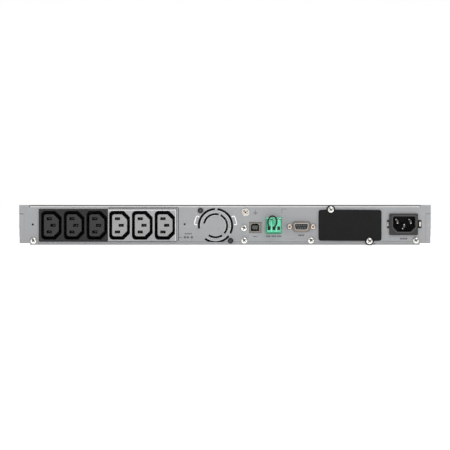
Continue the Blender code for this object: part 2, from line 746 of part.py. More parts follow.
# ---------------------------------------------------------------- fan
def fan():
    pivot_y = REAR_Y + PANEL_THICK + GAP + FAN_THICK / 2
    pivot = new_pivot("fan_spindle", (FAN_CENTRE[0], pivot_y, FAN_CENTRE[1]))
    near_y = pivot_y - FAN_THICK / 2
    far_y = pivot_y + FAN_THICK / 2
    spider_y = far_y - FAN_SPIDER
    corners = round_corners(FAN_ROUND, 2)
    half = FAN_HOLE_PITCH / 2
    places = [(x * half, z * half) for x in (-1, 1) for z in (-1, 1)]
    outlines = [cornered(FAN_SIZE, FAN_SIZE, corners), circle((0.0, 0.0), FAN_BORE, 28)]
    outlines += [circle(place, SCREW_HOLE, 8) for place in places]
    frame = slab("fan_frame", outlines, (near_y, spider_y + LAP), FAN_CENTRE)

    inner_size = FAN_SIZE - 2 * TUCK
    webs = [cornered(inner_size, inner_size, corners)]
    for turn in FAN_SPOKES_DEG:
        start, end = turn + FAN_SPOKE_HALF_DEG, turn + 120 - FAN_SPOKE_HALF_DEG
        webs.append(arc_slot((0.0, 0.0), FAN_HUB, FAN_BORE - TUCK, start, end, -FAN_SIZE))
    webs += [circle(place, SCREW_HOLE + TUCK, 8) for place in places]
    spider = slab("fan_spider", webs, (spider_y, far_y), FAN_CENTRE)
    frame = combine(as_mesh(frame), as_mesh(spider), "UNION")
    finish(frame, "black_plastic")

    profile = [(0.0, ROTOR_HALF), (ROTOR_HUB - ROTOR_CHAMFER, ROTOR_HALF),
               (ROTOR_HUB, ROTOR_HALF - ROTOR_CHAMFER), (ROTOR_HUB, -ROTOR_HALF),
               (0.0, -ROTOR_HALF)]
    rotor = turned("fan_rotor", profile, (FAN_CENTRE[0], pivot_y, FAN_CENTRE[1]), steps=21)
    finish(combine(rotor, fan_blades(pivot_y), "UNION"), "black_plastic")
    attach(rotor, pivot)


def fan_blades(rotor_y):
    """Seven pitched blades, one mesh of separate slabs that sink into the hub."""
    blades = bmesh.new()
    radial = (ROTOR_HUB - BLADE_SINK, ROTOR_TIP)
    for index in range(BLADE_COUNT):
        made = bmesh.ops.create_cube(blades, size=1.0)["verts"]
        size = (radial[1] - radial[0], BLADE_THICK, BLADE_CHORD)
        bmesh.ops.scale(blades, vec=size, verts=made)
        pitch = Matrix.Rotation(math.radians(BLADE_PITCH_DEG), 4, "X")
        out = Matrix.Translation((sum(radial) / 2, 0.0, 0.0))
        turn = Matrix.Rotation(2 * math.pi * index / BLADE_COUNT, 4, "Z")
        bmesh.ops.transform(blades, matrix=turn @ out @ pitch, verts=made)
    mesh = bpy.data.meshes.new("fan_blades")
    blades.to_mesh(mesh)
    blades.free()
    obj = add_object("fan_blades", mesh, (FAN_CENTRE[0], rotor_y, FAN_CENTRE[1]))
    obj.rotation_euler = (math.pi / 2, 0.0, 0.0)
    return obj


# ---------------------------------------------------------------- data sockets
def usb_socket():
    near_y = REAR_Y - USB_PROUD
    far_y = REAR_Y + USB_DEPTH
    outer = cornered(*USB_SHELL, round_corners(USB_SHELL_CHAMFER, 1), USB_CENTRE)
    mouth_centre = [c + o for c, o in zip(USB_CENTRE, USB_OPENING_OFFSET)]
    cuts = ((USB_OPENING_CHAMFER, 1), (USB_OPENING_CHAMFER, 1), (0.0, 0), (0.0, 0))
    opening = cornered(*USB_OPENING, cuts, mouth_centre)
    finish(slab("usb_shell", [outer, opening], (near_y, far_y)), "bright_metal")
    tongue = cornered(*USB_TONGUE, centre=mouth_centre)
    tongue_y = (near_y + USB_TONGUE_FRONT, far_y - USB_TONGUE_BACK)
    finish(slab("usb_tongue", [tongue], tongue_y), "pale_plastic")


def serial_socket():
    ring_y = REAR_Y - GAP
    tube_inside = [s + 2 * GAP for s in SERIAL_INSERT]
    ring = slab("serial_shell", [trapezium(SERIAL_RING, SERIAL_SLANT, SERIAL_CENTRE, 4),
                                 trapezium(tube_inside, SERIAL_SLANT, SERIAL_CENTRE)],
                (ring_y - SERIAL_RING_THICK, ring_y))
    bore = [s + SERIAL_SEAM for s in tube_inside]
    tube = slab("serial_tube", [trapezium(SERIAL_TUBE, SERIAL_SLANT, SERIAL_CENTRE),
                                trapezium(bore, SERIAL_SLANT, SERIAL_CENTRE)],
                (REAR_Y - SERIAL_TUBE_OUT, ring_y - SERIAL_RING_THICK / 2))
    shell = combine(as_mesh(ring), as_mesh(tube), "UNION")
    finish(shell, "bright_metal")
    insert = slab("serial_insert", [trapezium(SERIAL_INSERT, SERIAL_SLANT, SERIAL_CENTRE)],
                  (REAR_Y - SERIAL_TUBE_OUT + GAP, REAR_Y + SERIAL_INSERT_DEPTH))
    finish(insert, "black_plastic")
    for side, name in ((-1, "jack_post_left"), (1, "jack_post_right")):
        place = (SERIAL_CENTRE[0] + side * JACK_PITCH / 2, REAR_Y - GAP, SERIAL_CENTRE[1])
        finish(jack_post(name, place), "bright_metal")


def jack_post(name, place):
    """A hexagonal post with a blind threaded hole, turned in six flats."""
    outer = [(0.0, JACK_OUT), (JACK_RADIUS, JACK_OUT), (JACK_RADIUS, 0.0), (JACK_SHANK, 0.0),
             (JACK_SHANK, -JACK_SHANK_LENGTH), (0.0, -JACK_SHANK_LENGTH)]
    post = turned(name, outer, place, steps=6, smooth=False)
    top = JACK_OUT + CUT_CLEAR
    bore = [(0.0, top), (JACK_BORE, top), (JACK_BORE, JACK_BORE_FLOOR), (0.0, JACK_BORE_FLOOR)]
    return combine(post, turned(name + "_hole", bore, place, steps=8), "DIFFERENCE")


def terminal_block():
    x, z = TERMINAL_CENTRE
    wide, tall = TERMINAL_SIZE
    low_z, high_z = z - tall / 2, z + tall / 2
    near_y = REAR_Y - TERMINAL_PROUD
    back_y = REAR_Y + TERMINAL_DEPTH
    header = box("terminal_header", (x - wide / 2, near_y, low_z), (x + wide / 2, back_y, high_z))
    inside = wide / 2 - TERMINAL_WALL
    cavity_low_z, cavity_high_z = low_z + TERMINAL_WALL, high_z - TERMINAL_TOP_WALL
    plug_back_y = REAR_Y + PLUG_BACK
    cavity = box("terminal_cavity", (x - inside, near_y - CUT_CLEAR, cavity_low_z),
                 (x + inside, plug_back_y + GAP, cavity_high_z))
    finish(combine(header, cavity, "DIFFERENCE"), "green_plastic")

    pivot = new_pivot("plug_slide", (x, REAR_Y, z))
    front_y = REAR_Y - PLUG_PROUD
    plug = box("terminal_plug", (x - inside + GAP, front_y, cavity_low_z + GAP),
               (x + inside - GAP, plug_back_y, cavity_high_z - GAP))
    mouth_half_x, mouth_half_z = TERMINAL_MOUTH[0] / 2, TERMINAL_MOUTH[1] / 2
    for way in (-1, 0, 1):
        mouth_x = x + way * TERMINAL_PITCH
        low = (mouth_x - mouth_half_x, front_y - CUT_CLEAR, TERMINAL_MOUTH_Z - mouth_half_z)
        high = (mouth_x + mouth_half_x, front_y + TERMINAL_MOUTH_DEPTH,
                TERMINAL_MOUTH_Z + mouth_half_z)
        combine(plug, box("terminal_mouth_%d" % (way + 2), low, high), "DIFFERENCE")
    attach(finish(plug, "green_plastic"), pivot)
    attach(link_wire(front_y), pivot)


def smooth_route(points, steps):
    """Points at even steps along a Catmull-Rom curve through a route."""
    padded = [points[0]] + list(points) + [points[-1]]
    route = []
    for step in range(steps + 1):
        place = step / steps * (len(points) - 1)
        index = min(int(place), len(points) - 2)
        t = place - index
        a, b, c, d = padded[index:index + 4]
        route.append(tuple(
            0.5 * (2 * q + (r - p) * t + (2 * p - 5 * q + 4 * r - s) * t * t
                   + (3 * q - p - 3 * r + s) * t ** 3)
            for p, q, r, s in zip(a, b, c, d)))
    return route


def link_wire(front_y):
    """The looped jumper between the first two ways of the plug."""
    first_x = TERMINAL_CENTRE[0] - TERMINAL_PITCH
    second_x = TERMINAL_CENTRE[0]
    z = TERMINAL_MOUTH_Z - 0.0005
    middle_x = (first_x + second_x) / 2
    half = [(first_x, front_y + 0.0045, z), (first_x, front_y - 0.0005, z + 0.0001),
            (first_x - 0.0009, front_y - 0.0030, z + 0.0026),
            (first_x - 0.0017, front_y - 0.0036, z + 0.0068),
            (first_x - 0.0002, front_y - 0.0034, z + 0.0112)]
    top = [(middle_x, front_y - 0.0032, z + 0.0130)]
    route = half + top + [(2 * middle_x - x, y, h) for x, y, h in reversed(half)]
    curve = bpy.data.curves.new("link_wire", "CURVE")
    curve.dimensions = "3D"
    curve.bevel_depth = LINK_RADIUS
    curve.bevel_resolution = 2
    curve.use_fill_caps = True
    points = smooth_route(route, LINK_STEPS)
    spline = curve.splines.new("POLY")
    spline.points.add(len(points) - 1)
    for point, place in zip(spline.points, points):
        point.co = (*place, 1.0)
    return finish(add_object("link_wire", curve), "wire_sleeve")


# ---------------------------------------------------------------- card slot
def slot_cover():
    corners = cornered(*SLOT_COVER_SIZE, round_corners(SLOT_COVER_ROUND, 3), SLOT_COVER_CENTRE)
    per_corner = len(corners) // 4
    upper = PANEL_SCREWS["slot_screw_upper"]
    lower = PANEL_SCREWS["slot_screw_lower"]
    outline = corners[:per_corner] + arc(upper, SLOT_TAB_RADIUS, 0, 180, 8)
    outline += corners[per_corner:3 * per_corner] + arc(lower, SLOT_TAB_RADIUS, 180, 360, 8)
    outline += corners[3 * per_corner:]
    holes = [circle(place, SCREW_HOLE, 8) for place in (upper, lower)]
    near_y = REAR_Y - GAP - COVER_THICK
    finish(slab("slot_cover", [outline] + holes, (near_y, REAR_Y - GAP)), "black_steel")


def card_cage():
    x, z = SLOT_COVER_CENTRE
    half_wide = SLOT_OPENING[0] / 2 + CAGE_MARGIN
    half_tall = SLOT_OPENING[1] / 2 + CAGE_MARGIN
    path = [(x - half_wide, z + half_tall), (x - half_wide, z - half_tall),
            (x + half_wide, z - half_tall), (x + half_wide, z + half_tall)]
    start_y = REAR_Y + PANEL_THICK + GAP
    cage = folded_sheet("card_cage", path, start_y, start_y + CAGE_DEPTH, SHEET)
    finish(cage, "zinc_steel")


# ---------------------------------------------------------------- mains inlet
def ac_inlet():
    body = [s + 2 * INLET_WALL for s in INLET_CAVITY]
    flange_y = REAR_Y - GAP
    housing = slab("ac_inlet", [cornered(*body, round_corners(INLET_ROUND, 1), INLET_CENTRE)],
                   (flange_y - INLET_PROUD + LAP, REAR_Y + INLET_BODY_DEPTH))
    rim = cornered(*INLET_FLANGE, round_corners(INLET_ROUND, 2), INLET_FLANGE_CENTRE)
    flange = slab("inlet_flange", [rim], (flange_y - INLET_PROUD, flange_y))
    cuts = ((INLET_ROUND, 1), (INLET_ROUND, 1), (INLET_CHAMFER, 1), (INLET_CHAMFER, 1))
    cavity = slab("inlet_cavity", [cornered(*INLET_CAVITY, cuts, INLET_CENTRE)],
                  (flange_y - 2 * INLET_PROUD, REAR_Y + INLET_CAVITY_DEPTH))
    housing = combine(as_mesh(housing), as_mesh(flange), "UNION")
    combine(housing, as_mesh(cavity), "DIFFERENCE")
    finish(housing, "inlet_plastic")
    pins = {"inlet_pin_line": (-INLET_PIN_X, INLET_PIN_Z),
            "inlet_pin_neutral": (INLET_PIN_X, INLET_PIN_Z),
            "inlet_pin_earth": (0.0, INLET_EARTH_Z)}
    for name, (dx, dz) in pins.items():
        place = (INLET_CENTRE[0] + dx, INLET_CENTRE[1] + dz)
        pin = slab(name, [cornered(*INLET_PIN, round_corners(INLET_PIN_ROUND, 1))],
                   (REAR_Y - INLET_PIN_TIP, REAR_Y + INLET_CAVITY_DEPTH - GAP), place)
        finish(pin, "bright_metal")


def inlet_clips():
    """Spring tabs that hold the inlet in the panel, seen in the notches beside it."""
    low_z = INLET_CENTRE[1] - CLIP_HEIGHT / 2 + GAP
    high_z = INLET_CENTRE[1] + CLIP_HEIGHT / 2 - GAP
    body_half = INLET_CAVITY[0] / 2 + INLET_WALL + GAP
    flange_left = INLET_FLANGE_CENTRE[0] - INLET_FLANGE[0] / 2
    flange_right = INLET_FLANGE_CENTRE[0] + INLET_FLANGE[0] / 2
    root_y = REAR_Y + CLIP_ROOT_DEPTH
    bend_y = REAR_Y + CLIP_BEND_DEPTH
    left = [(INLET_CENTRE[0] - body_half, root_y), (CLIP_LEFT[0] + CLIP_BEND, bend_y),
            (flange_left - GAP, bend_y)]
    right = [(flange_right + GAP, bend_y), (CLIP_RIGHT[1] - CLIP_BEND, bend_y),
             (INLET_CENTRE[0] + body_half, root_y)]
    for name, path in (("inlet_clip_left", left), ("inlet_clip_right", right)):
        clip = folded_sheet(name, path, low_z, high_z, CLIP_THICK, upright=False)
        finish(clip, "bright_metal")


# ---------------------------------------------------------------- electronics
def main_board():
    """An L-shaped board: beside the battery bay, and behind it under the outlets."""
    left, right = BOARD_X
    bay_edge = BAY_BACK_Y - BOARD_BAY_MARGIN
    outlet_edge = REAR_Y + BOARD_OUTLET_MARGIN
    side_edge = REAR_Y + BOARD_BACK_MARGIN
    outline = [(right, BOARD_FRONT_Y), (BOARD_BAY_X, BOARD_FRONT_Y), (BOARD_BAY_X, bay_edge),
               (left, bay_edge), (left, outlet_edge), (BOARD_JOG_X, outlet_edge),
               (BOARD_JOG_X, side_edge), (right, side_edge)]
    holes = [circle(place, BOARD_HOLE, 8) for place in BOARD_HOLES]
    board = plate("main_board", [outline] + holes, BOARD_THICK, (0.0, 0.0, BOARD_Z), upright=False)
    finish(board, "circuit_board")


def transformer():
    """Laminated core with its winding standing out at both ends."""
    low_z = BOARD_TOP + GAP
    core = box("transformer", (TRANSFORMER_X[0], TRANSFORMER_Y[0], low_z),
               (TRANSFORMER_X[1], TRANSFORMER_Y[1], TRANSFORMER_TOP))
    middle = (sum(TRANSFORMER_X) / 2, (low_z + TRANSFORMER_TOP) / 2)
    winding = cornered(*COIL_SIZE, round_corners(COIL_ROUND, 3), middle)
    coil = slab("transformer_coil", [winding], COIL_Y)
    finish(combine(core, as_mesh(coil), "UNION"), "winding")


def heatsink():
    floor_z = BOARD_TOP + GAP
    base_z = floor_z + HEATSINK_BASE
    outline = [(HEATSINK_LEFT, floor_z)]
    for index in range(HEATSINK_FINS):
        x = HEATSINK_LEFT + index * HEATSINK_PITCH
        if index:
            outline.append((x, base_z))
        outline += [(x, HEATSINK_TOP), (x + HEATSINK_FIN, HEATSINK_TOP)]
        foot_z = base_z if index < HEATSINK_FINS - 1 else floor_z
        outline.append((x + HEATSINK_FIN, foot_z))
    finish(slab("heatsink", [outline], HEATSINK_Y), "aluminium")


def bulk_capacitor():
    floor_z = BOARD_TOP + GAP
    outline = circle(CAPACITOR_CENTRE, CAPACITOR_RADIUS, 20)
    location = (0.0, 0.0, (floor_z + CAPACITOR_TOP) / 2)
    can = plate("bulk_capacitor", [outline], CAPACITOR_TOP - floor_z, location, upright=False)
    finish(can, "capacitor_sleeve")


def display_board():
    outline = between(*DISPLAY_BOARD_X, *DISPLAY_BOARD_Z)
    back_y = FACE_Y - DISPLAY_BOARD_DEPTH
    finish(slab("display_board", [outline], (back_y, back_y + BOARD_THICK)), "circuit_board")


# ---------------------------------------------------------------- battery drawer
def battery_drawer():
    middle_x = sum(DRAWER_X) / 2
    pivot = new_pivot("drawer_slide", (middle_x, DRAWER_Y[1], sum(DRAWER_Z) / 2))
    low = (DRAWER_X[0], DRAWER_Y[0], DRAWER_Z[0] + STEP_Z)
    high = (DRAWER_X[1], DRAWER_Y[1], DRAWER_Z[1])
    tray = thicken(box("battery_tray", low, high, open_top=True), SHEET)
    attach(finish(tray, "zinc_steel"), pivot)

    pack_low = [v + PACK_INSET for v in low]
    pack_high = (high[0] - PACK_INSET, high[1] - PACK_INSET, PACK_TOP)
    pack = box("battery_pack", pack_low, pack_high)
    half = PACK_GROOVE / 2
    middle_y = (pack_low[1] + pack_high[1]) / 2
    floor_z, above_z = PACK_TOP - PACK_GROOVE_DEPTH, PACK_TOP + CUT_REACH
    across = box("groove_across", (pack_low[0] - CUT_REACH, middle_y - half, floor_z),
                 (pack_high[0] + CUT_REACH, middle_y + half, above_z))
    along = box("groove_along", (middle_x - half, pack_low[1] - CUT_REACH, floor_z),
                (middle_x + half, pack_high[1] + CUT_REACH, above_z))
    combine(pack, across, "DIFFERENCE")
    combine(pack, along, "DIFFERENCE")
    attach(finish(pack, "battery_case"), pivot)

    outline = cornered(*CONNECTOR_SIZE, round_corners(CONNECTOR_ROUND, 2),
                       (CONNECTOR_X, CONNECTOR_Z))
    back_y = DRAWER_Y[0] - GAP
    plug = slab("battery_connector", [outline], (back_y - CONNECTOR_DEPTH, back_y))
    attach(finish(plug, "black_plastic"), pivot)

    vents = vent_outlines(DRAWER_VENTS_X, DRAWER_VENTS)
    fascia = bezel_shell("drawer_fascia", (-HALF_WIDTH, BEZEL_SPLIT_X - BEZEL_SEAM), vents)
    attach(finish(fascia, "black_plastic"), pivot)


def vent_outlines(middle_x, count):
    middle_z = sum(BEZEL_Z) / 2
    first = middle_x - (count - 1) * VENT_PITCH / 2
    return [cornered(*VENT_SIZE, centre=(first + i * VENT_PITCH, middle_z)) for i in range(count)]


def bezel_shell(name, x_range, holes):
    """A moulded front, hollow from behind: a pierced skin on a deep rim."""
    corners = round_corners(BEZEL_ROUND, 3)
    outer = between(*x_range, *BEZEL_Z, corners)
    skin = slab(name, [outer] + holes, (FACE_Y - BEZEL_SKIN, FACE_Y))
    rim_outer = between(x_range[0] + TUCK, x_range[1] - TUCK, BEZEL_Z[0] + TUCK,
                        BEZEL_Z[1] - TUCK, corners)
    wall = BEZEL_WALL
    rim_inner = between(x_range[0] + wall, x_range[1] - wall, BEZEL_Z[0] + wall, BEZEL_Z[1] - wall)
    rim = slab(name + "_rim", [rim_outer, rim_inner],
               (FACE_Y - BEZEL_DEPTH, FACE_Y - BEZEL_SKIN + LAP))
    return combine(as_mesh(skin), as_mesh(rim), "UNION")


# ---------------------------------------------------------------- front controls
def front_bezel():
    holes = [cornered(*WINDOW_SIZE, round_corners(WINDOW_ROUND, 2), WINDOW_CENTRE)]
    hole_size = KEY_SIZE + 2 * KEY_GAP
    hole_corners = round_corners(KEY_ROUND + KEY_GAP, 3)
    for index in range(len(KEY_NAMES)):
        place = (KEY_FIRST_X - index * KEY_PITCH, KEY_Z)
        holes.append(cornered(hole_size, hole_size, hole_corners, place))
    holes.append(circle((POWER_X, KEY_Z), POWER_RADIUS + KEY_GAP, 20))
    holes += vent_outlines(BEZEL_VENTS_X, BEZEL_VENTS)
    finish(bezel_shell("front_bezel", (BEZEL_SPLIT_X, HALF_WIDTH), holes), "black_plastic")

    lens_corners = round_corners(WINDOW_ROUND - GAP, 2)
    lens = cornered(WINDOW_SIZE[0] - 2 * GAP, WINDOW_SIZE[1] - 2 * GAP, lens_corners, WINDOW_CENTRE)
    lens_y = [FACE_Y - depth for depth in LENS_DEPTHS]
    finish(slab("display_window", [lens], lens_y), "window_glass")


def keys():
    middle_y = FACE_Y + KEY_PROUD - KEY_LENGTH / 2
    for index, name in enumerate(KEY_NAMES):
        outline = cornered(KEY_SIZE, KEY_SIZE, round_corners(KEY_ROUND, 3))
        location = (KEY_FIRST_X - index * KEY_PITCH, middle_y, KEY_Z)
        finish(plate(name, [outline], KEY_LENGTH, location), "key_plastic")
    cap = plate("power_key", [circle((0.0, 0.0), POWER_RADIUS, 20)], KEY_LENGTH,
                (POWER_X, middle_y, KEY_Z))
    finish(cap, "key_plastic")


# ---------------------------------------------------------------- assembly
clear_scene()
parts = new_collection("rackmount_ups")
guides = new_collection("guides")

base_tray()
rear_panel()
top_cover()
front_plate()
bay_divider()
rack_ear("rack_ear_left", -1)
rack_ear("rack_ear_right", 1)
fasteners()
outlets()
fan()
usb_socket()
serial_socket()
terminal_block()
slot_cover()
card_cage()
ac_inlet()
inlet_clips()
main_board()
transformer()
heatsink()
bulk_capacitor()
display_board()
battery_drawer()
front_bezel()
keys()
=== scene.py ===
"""Looks for a one-unit rackmount UPS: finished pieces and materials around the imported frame."""

import json
import math

import bmesh
import bpy
from mathutils import Matrix, Vector

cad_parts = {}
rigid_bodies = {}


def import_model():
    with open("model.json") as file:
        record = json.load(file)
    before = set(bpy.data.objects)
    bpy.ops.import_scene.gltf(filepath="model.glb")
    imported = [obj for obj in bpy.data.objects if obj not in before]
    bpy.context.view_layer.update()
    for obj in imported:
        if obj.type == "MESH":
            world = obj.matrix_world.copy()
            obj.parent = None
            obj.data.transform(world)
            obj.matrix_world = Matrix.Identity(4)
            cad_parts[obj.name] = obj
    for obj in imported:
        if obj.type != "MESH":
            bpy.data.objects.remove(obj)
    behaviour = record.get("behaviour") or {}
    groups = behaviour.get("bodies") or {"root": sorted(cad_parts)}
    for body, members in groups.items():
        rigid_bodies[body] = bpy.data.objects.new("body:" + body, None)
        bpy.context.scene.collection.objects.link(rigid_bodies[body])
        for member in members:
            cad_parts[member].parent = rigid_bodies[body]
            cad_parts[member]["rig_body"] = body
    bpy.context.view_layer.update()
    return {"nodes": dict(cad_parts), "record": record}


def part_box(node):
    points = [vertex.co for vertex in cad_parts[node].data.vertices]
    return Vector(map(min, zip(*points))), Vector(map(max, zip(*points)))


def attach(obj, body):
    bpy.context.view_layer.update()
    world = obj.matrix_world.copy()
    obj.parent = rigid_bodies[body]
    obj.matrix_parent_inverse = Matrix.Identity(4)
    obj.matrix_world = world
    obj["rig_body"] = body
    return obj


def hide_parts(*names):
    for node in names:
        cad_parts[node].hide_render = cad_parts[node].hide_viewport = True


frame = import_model()
NODES = frame["nodes"]
SCENE = bpy.context.scene
# Four uncut corners for outline_shape, each (size, steps).
SQUARE = ((0.0, 0),) * 4


def low(node):
    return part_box(node)[0]


def high(node):
    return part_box(node)[1]


def middle(node):
    return (low(node) + high(node)) / 2


PANEL_Y = low("rear_panel").y
FACE_Y = high("front_bezel").y
TOP_Z = high("top_cover").z
FAN = middle("fan_rotor")
SERIAL = middle("serial_insert")
PLUG_LOW, PLUG_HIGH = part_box("terminal_plug")


# ---------------------------------------------------------------- node graphs
class Value:
    """A socket that can be used in arithmetic; each operation adds its Math node."""

    def __init__(self, graph, socket):
        self.graph = graph
        self.socket = socket

    def math(self, operation, *others):
        return self.graph.maths(operation, self, *others)

    def __add__(self, other):
        return self.math("ADD", other)

    def __radd__(self, other):
        return self.graph.maths("ADD", other, self)

    def __sub__(self, other):
        return self.math("SUBTRACT", other)

    def __rsub__(self, other):
        return self.graph.maths("SUBTRACT", other, self)

    def __mul__(self, other):
        return self.math("MULTIPLY", other)

    def __rmul__(self, other):
        return self.graph.maths("MULTIPLY", other, self)

    def __truediv__(self, other):
        return self.math("DIVIDE", other)

    def above(self, edge, soft):
        """0 below edge - soft, 1 above edge + soft."""
        return ((self - (edge - soft)) / (2 * soft)).math("MAXIMUM", 0.0).math("MINIMUM", 1.0)


class Graph:
    """Builds nodes in one tree: type, settings first, then the values or links of its sockets."""

    def __init__(self, tree):
        self.tree = tree

    def feed(self, socket, value):
        if isinstance(value, Value):
            self.tree.links.new(value.socket, socket)
        else:
            socket.default_value = value

    def maths(self, operation, *values):
        made = self.tree.nodes.new("ShaderNodeMath")
        made.operation = operation
        for slot, value in zip(made.inputs, values):
            self.feed(slot, value)
        return Value(self, made.outputs[0])

    def node(self, kind, settings=None, inputs=None, output=0):
        made = self.tree.nodes.new(kind)
        for name, value in (settings or {}).items():
            if name == "stops":
                ramp = made.color_ramp
                while len(ramp.elements) < len(value):
                    ramp.elements.new(0.5)
                for element, (place, colour) in zip(ramp.elements, value):
                    element.position = place
                    element.color = (*colour, 1.0)
            else:
                setattr(made, name, value)
        for key, value in (inputs or {}).items():
            self.feed(made.inputs[key], value)
        return Value(self, made.outputs[output]) if len(made.outputs) else None

    # pattern helpers, all on object coordinates in metres
    def place(self):
        return self.node("ShaderNodeTexCoord", output="Object")

    def mapped(self, scale, turn=(0.0, 0.0, 0.0)):
        inputs = {"Vector": self.place(), "Scale": scale, "Rotation": turn}
        return self.node("ShaderNodeMapping", {"vector_type": "POINT"}, inputs)

    def noise(self, scale, detail=2.0, rough=0.5, vector=None):
        inputs = {"Vector": vector or self.place(), "Scale": scale, "Detail": detail, "Roughness": rough}
        return self.node("ShaderNodeTexNoise", None, inputs)

    def cells(self, scale, feature="F1"):
        inputs = {"Vector": self.place(), "Scale": scale}
        return self.node("ShaderNodeTexVoronoi", {"feature": feature}, inputs)

    def blend(self, factor, first, second):
        made = self.tree.nodes.new("ShaderNodeMix")
        made.data_type = "RGBA"
        self.feed(made.inputs[0], factor)
        for slot, colour in ((made.inputs[6], first), (made.inputs[7], second)):
            self.feed(slot, colour if isinstance(colour, Value) else (*colour, 1.0))
        return Value(self, made.outputs[2])

    def bump(self, height, strength, distance):
        inputs = {"Height": height, "Strength": strength, "Distance": distance}
        return self.node("ShaderNodeBump", None, inputs)

    def surface(self, **sockets):
        """A Principled BSDF into the material's output; names use _ for a space."""
        inputs = {name.replace("_", " "): value for name, value in sockets.items()}
        for name, value in inputs.items():
            if isinstance(value, tuple) and len(value) == 3 and name != "Normal":
                inputs[name] = (*value, 1.0)
        shader = self.node("ShaderNodeBsdfPrincipled", None, inputs)
        self.node("ShaderNodeOutputMaterial", None, {"Surface": shader})


def new_material(name):
    made = bpy.data.materials.new(name)
    made.use_nodes = True
    made.node_tree.nodes.clear()
    return made, Graph(made.node_tree)


# ---------------------------------------------------------------- materials
def powder_coat(name, colour, pit=0.25, roughness=0.42, metallic=0.2, lift=1.12):
    """Baked paint: soft mottling, a fine orange peel, faint rubbed streaks and dust specks."""
    made, g = new_material(name)
    broad = g.noise(14.0, 3.0)
    peel = g.noise(1900.0, 2.0, 0.6)
    rubbed = g.noise(9.0, 4.0, 0.65, g.mapped((1.0, 1.0, 22.0)))
    paler = tuple(channel * lift for channel in colour)
    darker = tuple(channel * (2.0 - lift) for channel in colour)
    base = g.blend(broad, darker, paler)
    base = g.blend(rubbed.above(0.66, 0.08) * 0.35, base, tuple(min(1.0, c * 1.35) for c in colour))
    specks = 1.0 - g.cells(420.0).above(0.07, 0.03)
    base = g.blend(specks * 0.22, base, tuple(channel * 0.45 for channel in colour))
    shine = roughness + (broad - 0.5) * 0.18 + (peel - 0.5) * 0.10
    normal = g.bump(peel, pit, 0.00006)
    g.surface(Base_Color=base, Roughness=shine, Metallic=metallic, Normal=normal)
    return made


def moulded(name, colour, roughness=0.5, grain=3200.0, depth=0.35, sheen=0.1, shine_level=0.5):
    """Injection-moulded plastic: spark-eroded grain, slight flow marks and handling gloss."""
    made, g = new_material(name)
    flow = g.noise(30.0, 3.0, 0.6, g.mapped((1.0, 1.0, 3.0)))
    fine = g.noise(grain, 3.0, 0.7)
    pores = g.cells(grain * 0.45)
    base = g.blend(flow, tuple(c * 0.86 for c in colour), tuple(min(1.0, c * 1.14) for c in colour))
    base = g.blend((1.0 - pores.above(0.25, 0.2)) * 0.25, base, tuple(c * 0.7 for c in colour))
    shine = roughness + (flow - 0.5) * 0.22 + (fine - 0.5) * 0.12
    normal = g.bump(fine + pores * 0.6, depth, 0.00005)
    g.surface(Base_Color=base, Roughness=shine, Normal=normal, Coat_Weight=sheen, Coat_Roughness=0.45,
              Specular_IOR_Level=shine_level)
    return made


def plated(name, colour, roughness=0.22, streak=(1.0, 1.0, 30.0), tarnish=(0.30, 0.25, 0.19)):
    """Bright plating: brushed streaks, small scratches and a warm tarnish in patches."""
    made, g = new_material(name)
    streaks = g.noise(160.0, 4.0, 0.7, g.mapped(streak))
    patches = g.noise(220.0, 4.0, 0.6)
    scratch = g.noise(700.0, 2.0, 0.5, g.mapped((1.0, 9.0, 1.0), (0.3, 0.2, 0.7)))
    base = g.blend(streaks, tuple(c * 0.82 for c in colour), colour)
    base = g.blend(patches.above(0.62, 0.12) * 0.45, base, tarnish)
    shine = roughness + (patches - 0.5) * 0.25 + scratch.above(0.62, 0.05) * 0.12
    normal = g.bump(streaks + scratch * 0.5, 0.12, 0.00004)
    g.surface(Base_Color=base, Roughness=shine, Metallic=1.0, Normal=normal)
    return made


def galvanised(name, colour):
    """Zinc-coated sheet: crystal spangle in several greys, with rolled streaks."""
    made, g = new_material(name)
    crystals = g.node("ShaderNodeTexVoronoi", {"feature": "F1"},
                      {"Vector": g.place(), "Scale": 130.0}, "Color")
    value = g.node("ShaderNodeSeparateColor", None, {"Color": crystals})
    rolled = g.noise(60.0, 4.0, 0.6, g.mapped((14.0, 1.0, 1.0)))
    base = g.blend(value, tuple(c * 0.78 for c in colour), tuple(min(1.0, c * 1.15) for c in colour))
    base = g.blend(rolled.above(0.6, 0.1) * 0.3, base, tuple(c * 0.9 for c in colour))
    shine = 0.30 + value * 0.22 + (rolled - 0.5) * 0.12
    g.surface(Base_Color=base, Roughness=shine, Metallic=0.9, Normal=g.bump(value, 0.08, 0.00004))
    return made


def wrinkle_paint(name, colour):
    """Black textured enamel with a leathery wrinkle."""
    made, g = new_material(name)
    folds = g.cells(900.0, "SMOOTH_F1")
    broad = g.noise(120.0, 3.0)
    dust = g.noise(2600.0, 1.0)
    base = g.blend(folds, tuple(c * 0.6 for c in colour), tuple(c * 1.7 for c in colour))
    base = g.blend(dust.above(0.72, 0.04) * 0.35, base, (0.06, 0.06, 0.06))
    shine = 0.58 + (broad - 0.5) * 0.2 + folds * 0.1
    g.surface(Base_Color=base, Roughness=shine, Normal=g.bump(folds, 0.5, 0.0001),
              Specular_IOR_Level=0.16)
    return made


def ink(name, colour):
    """Screen-printed ink, slightly uneven in cover."""
    made, g = new_material(name)
    cover = g.noise(900.0, 3.0)
    base = g.blend(cover, tuple(c * 0.8 for c in colour), tuple(min(1.0, c * 1.2) for c in colour))
    g.surface(Base_Color=base, Roughness=0.55 + (cover - 0.5) * 0.2, Normal=g.bump(cover, 0.1, 0.00002))
    return made


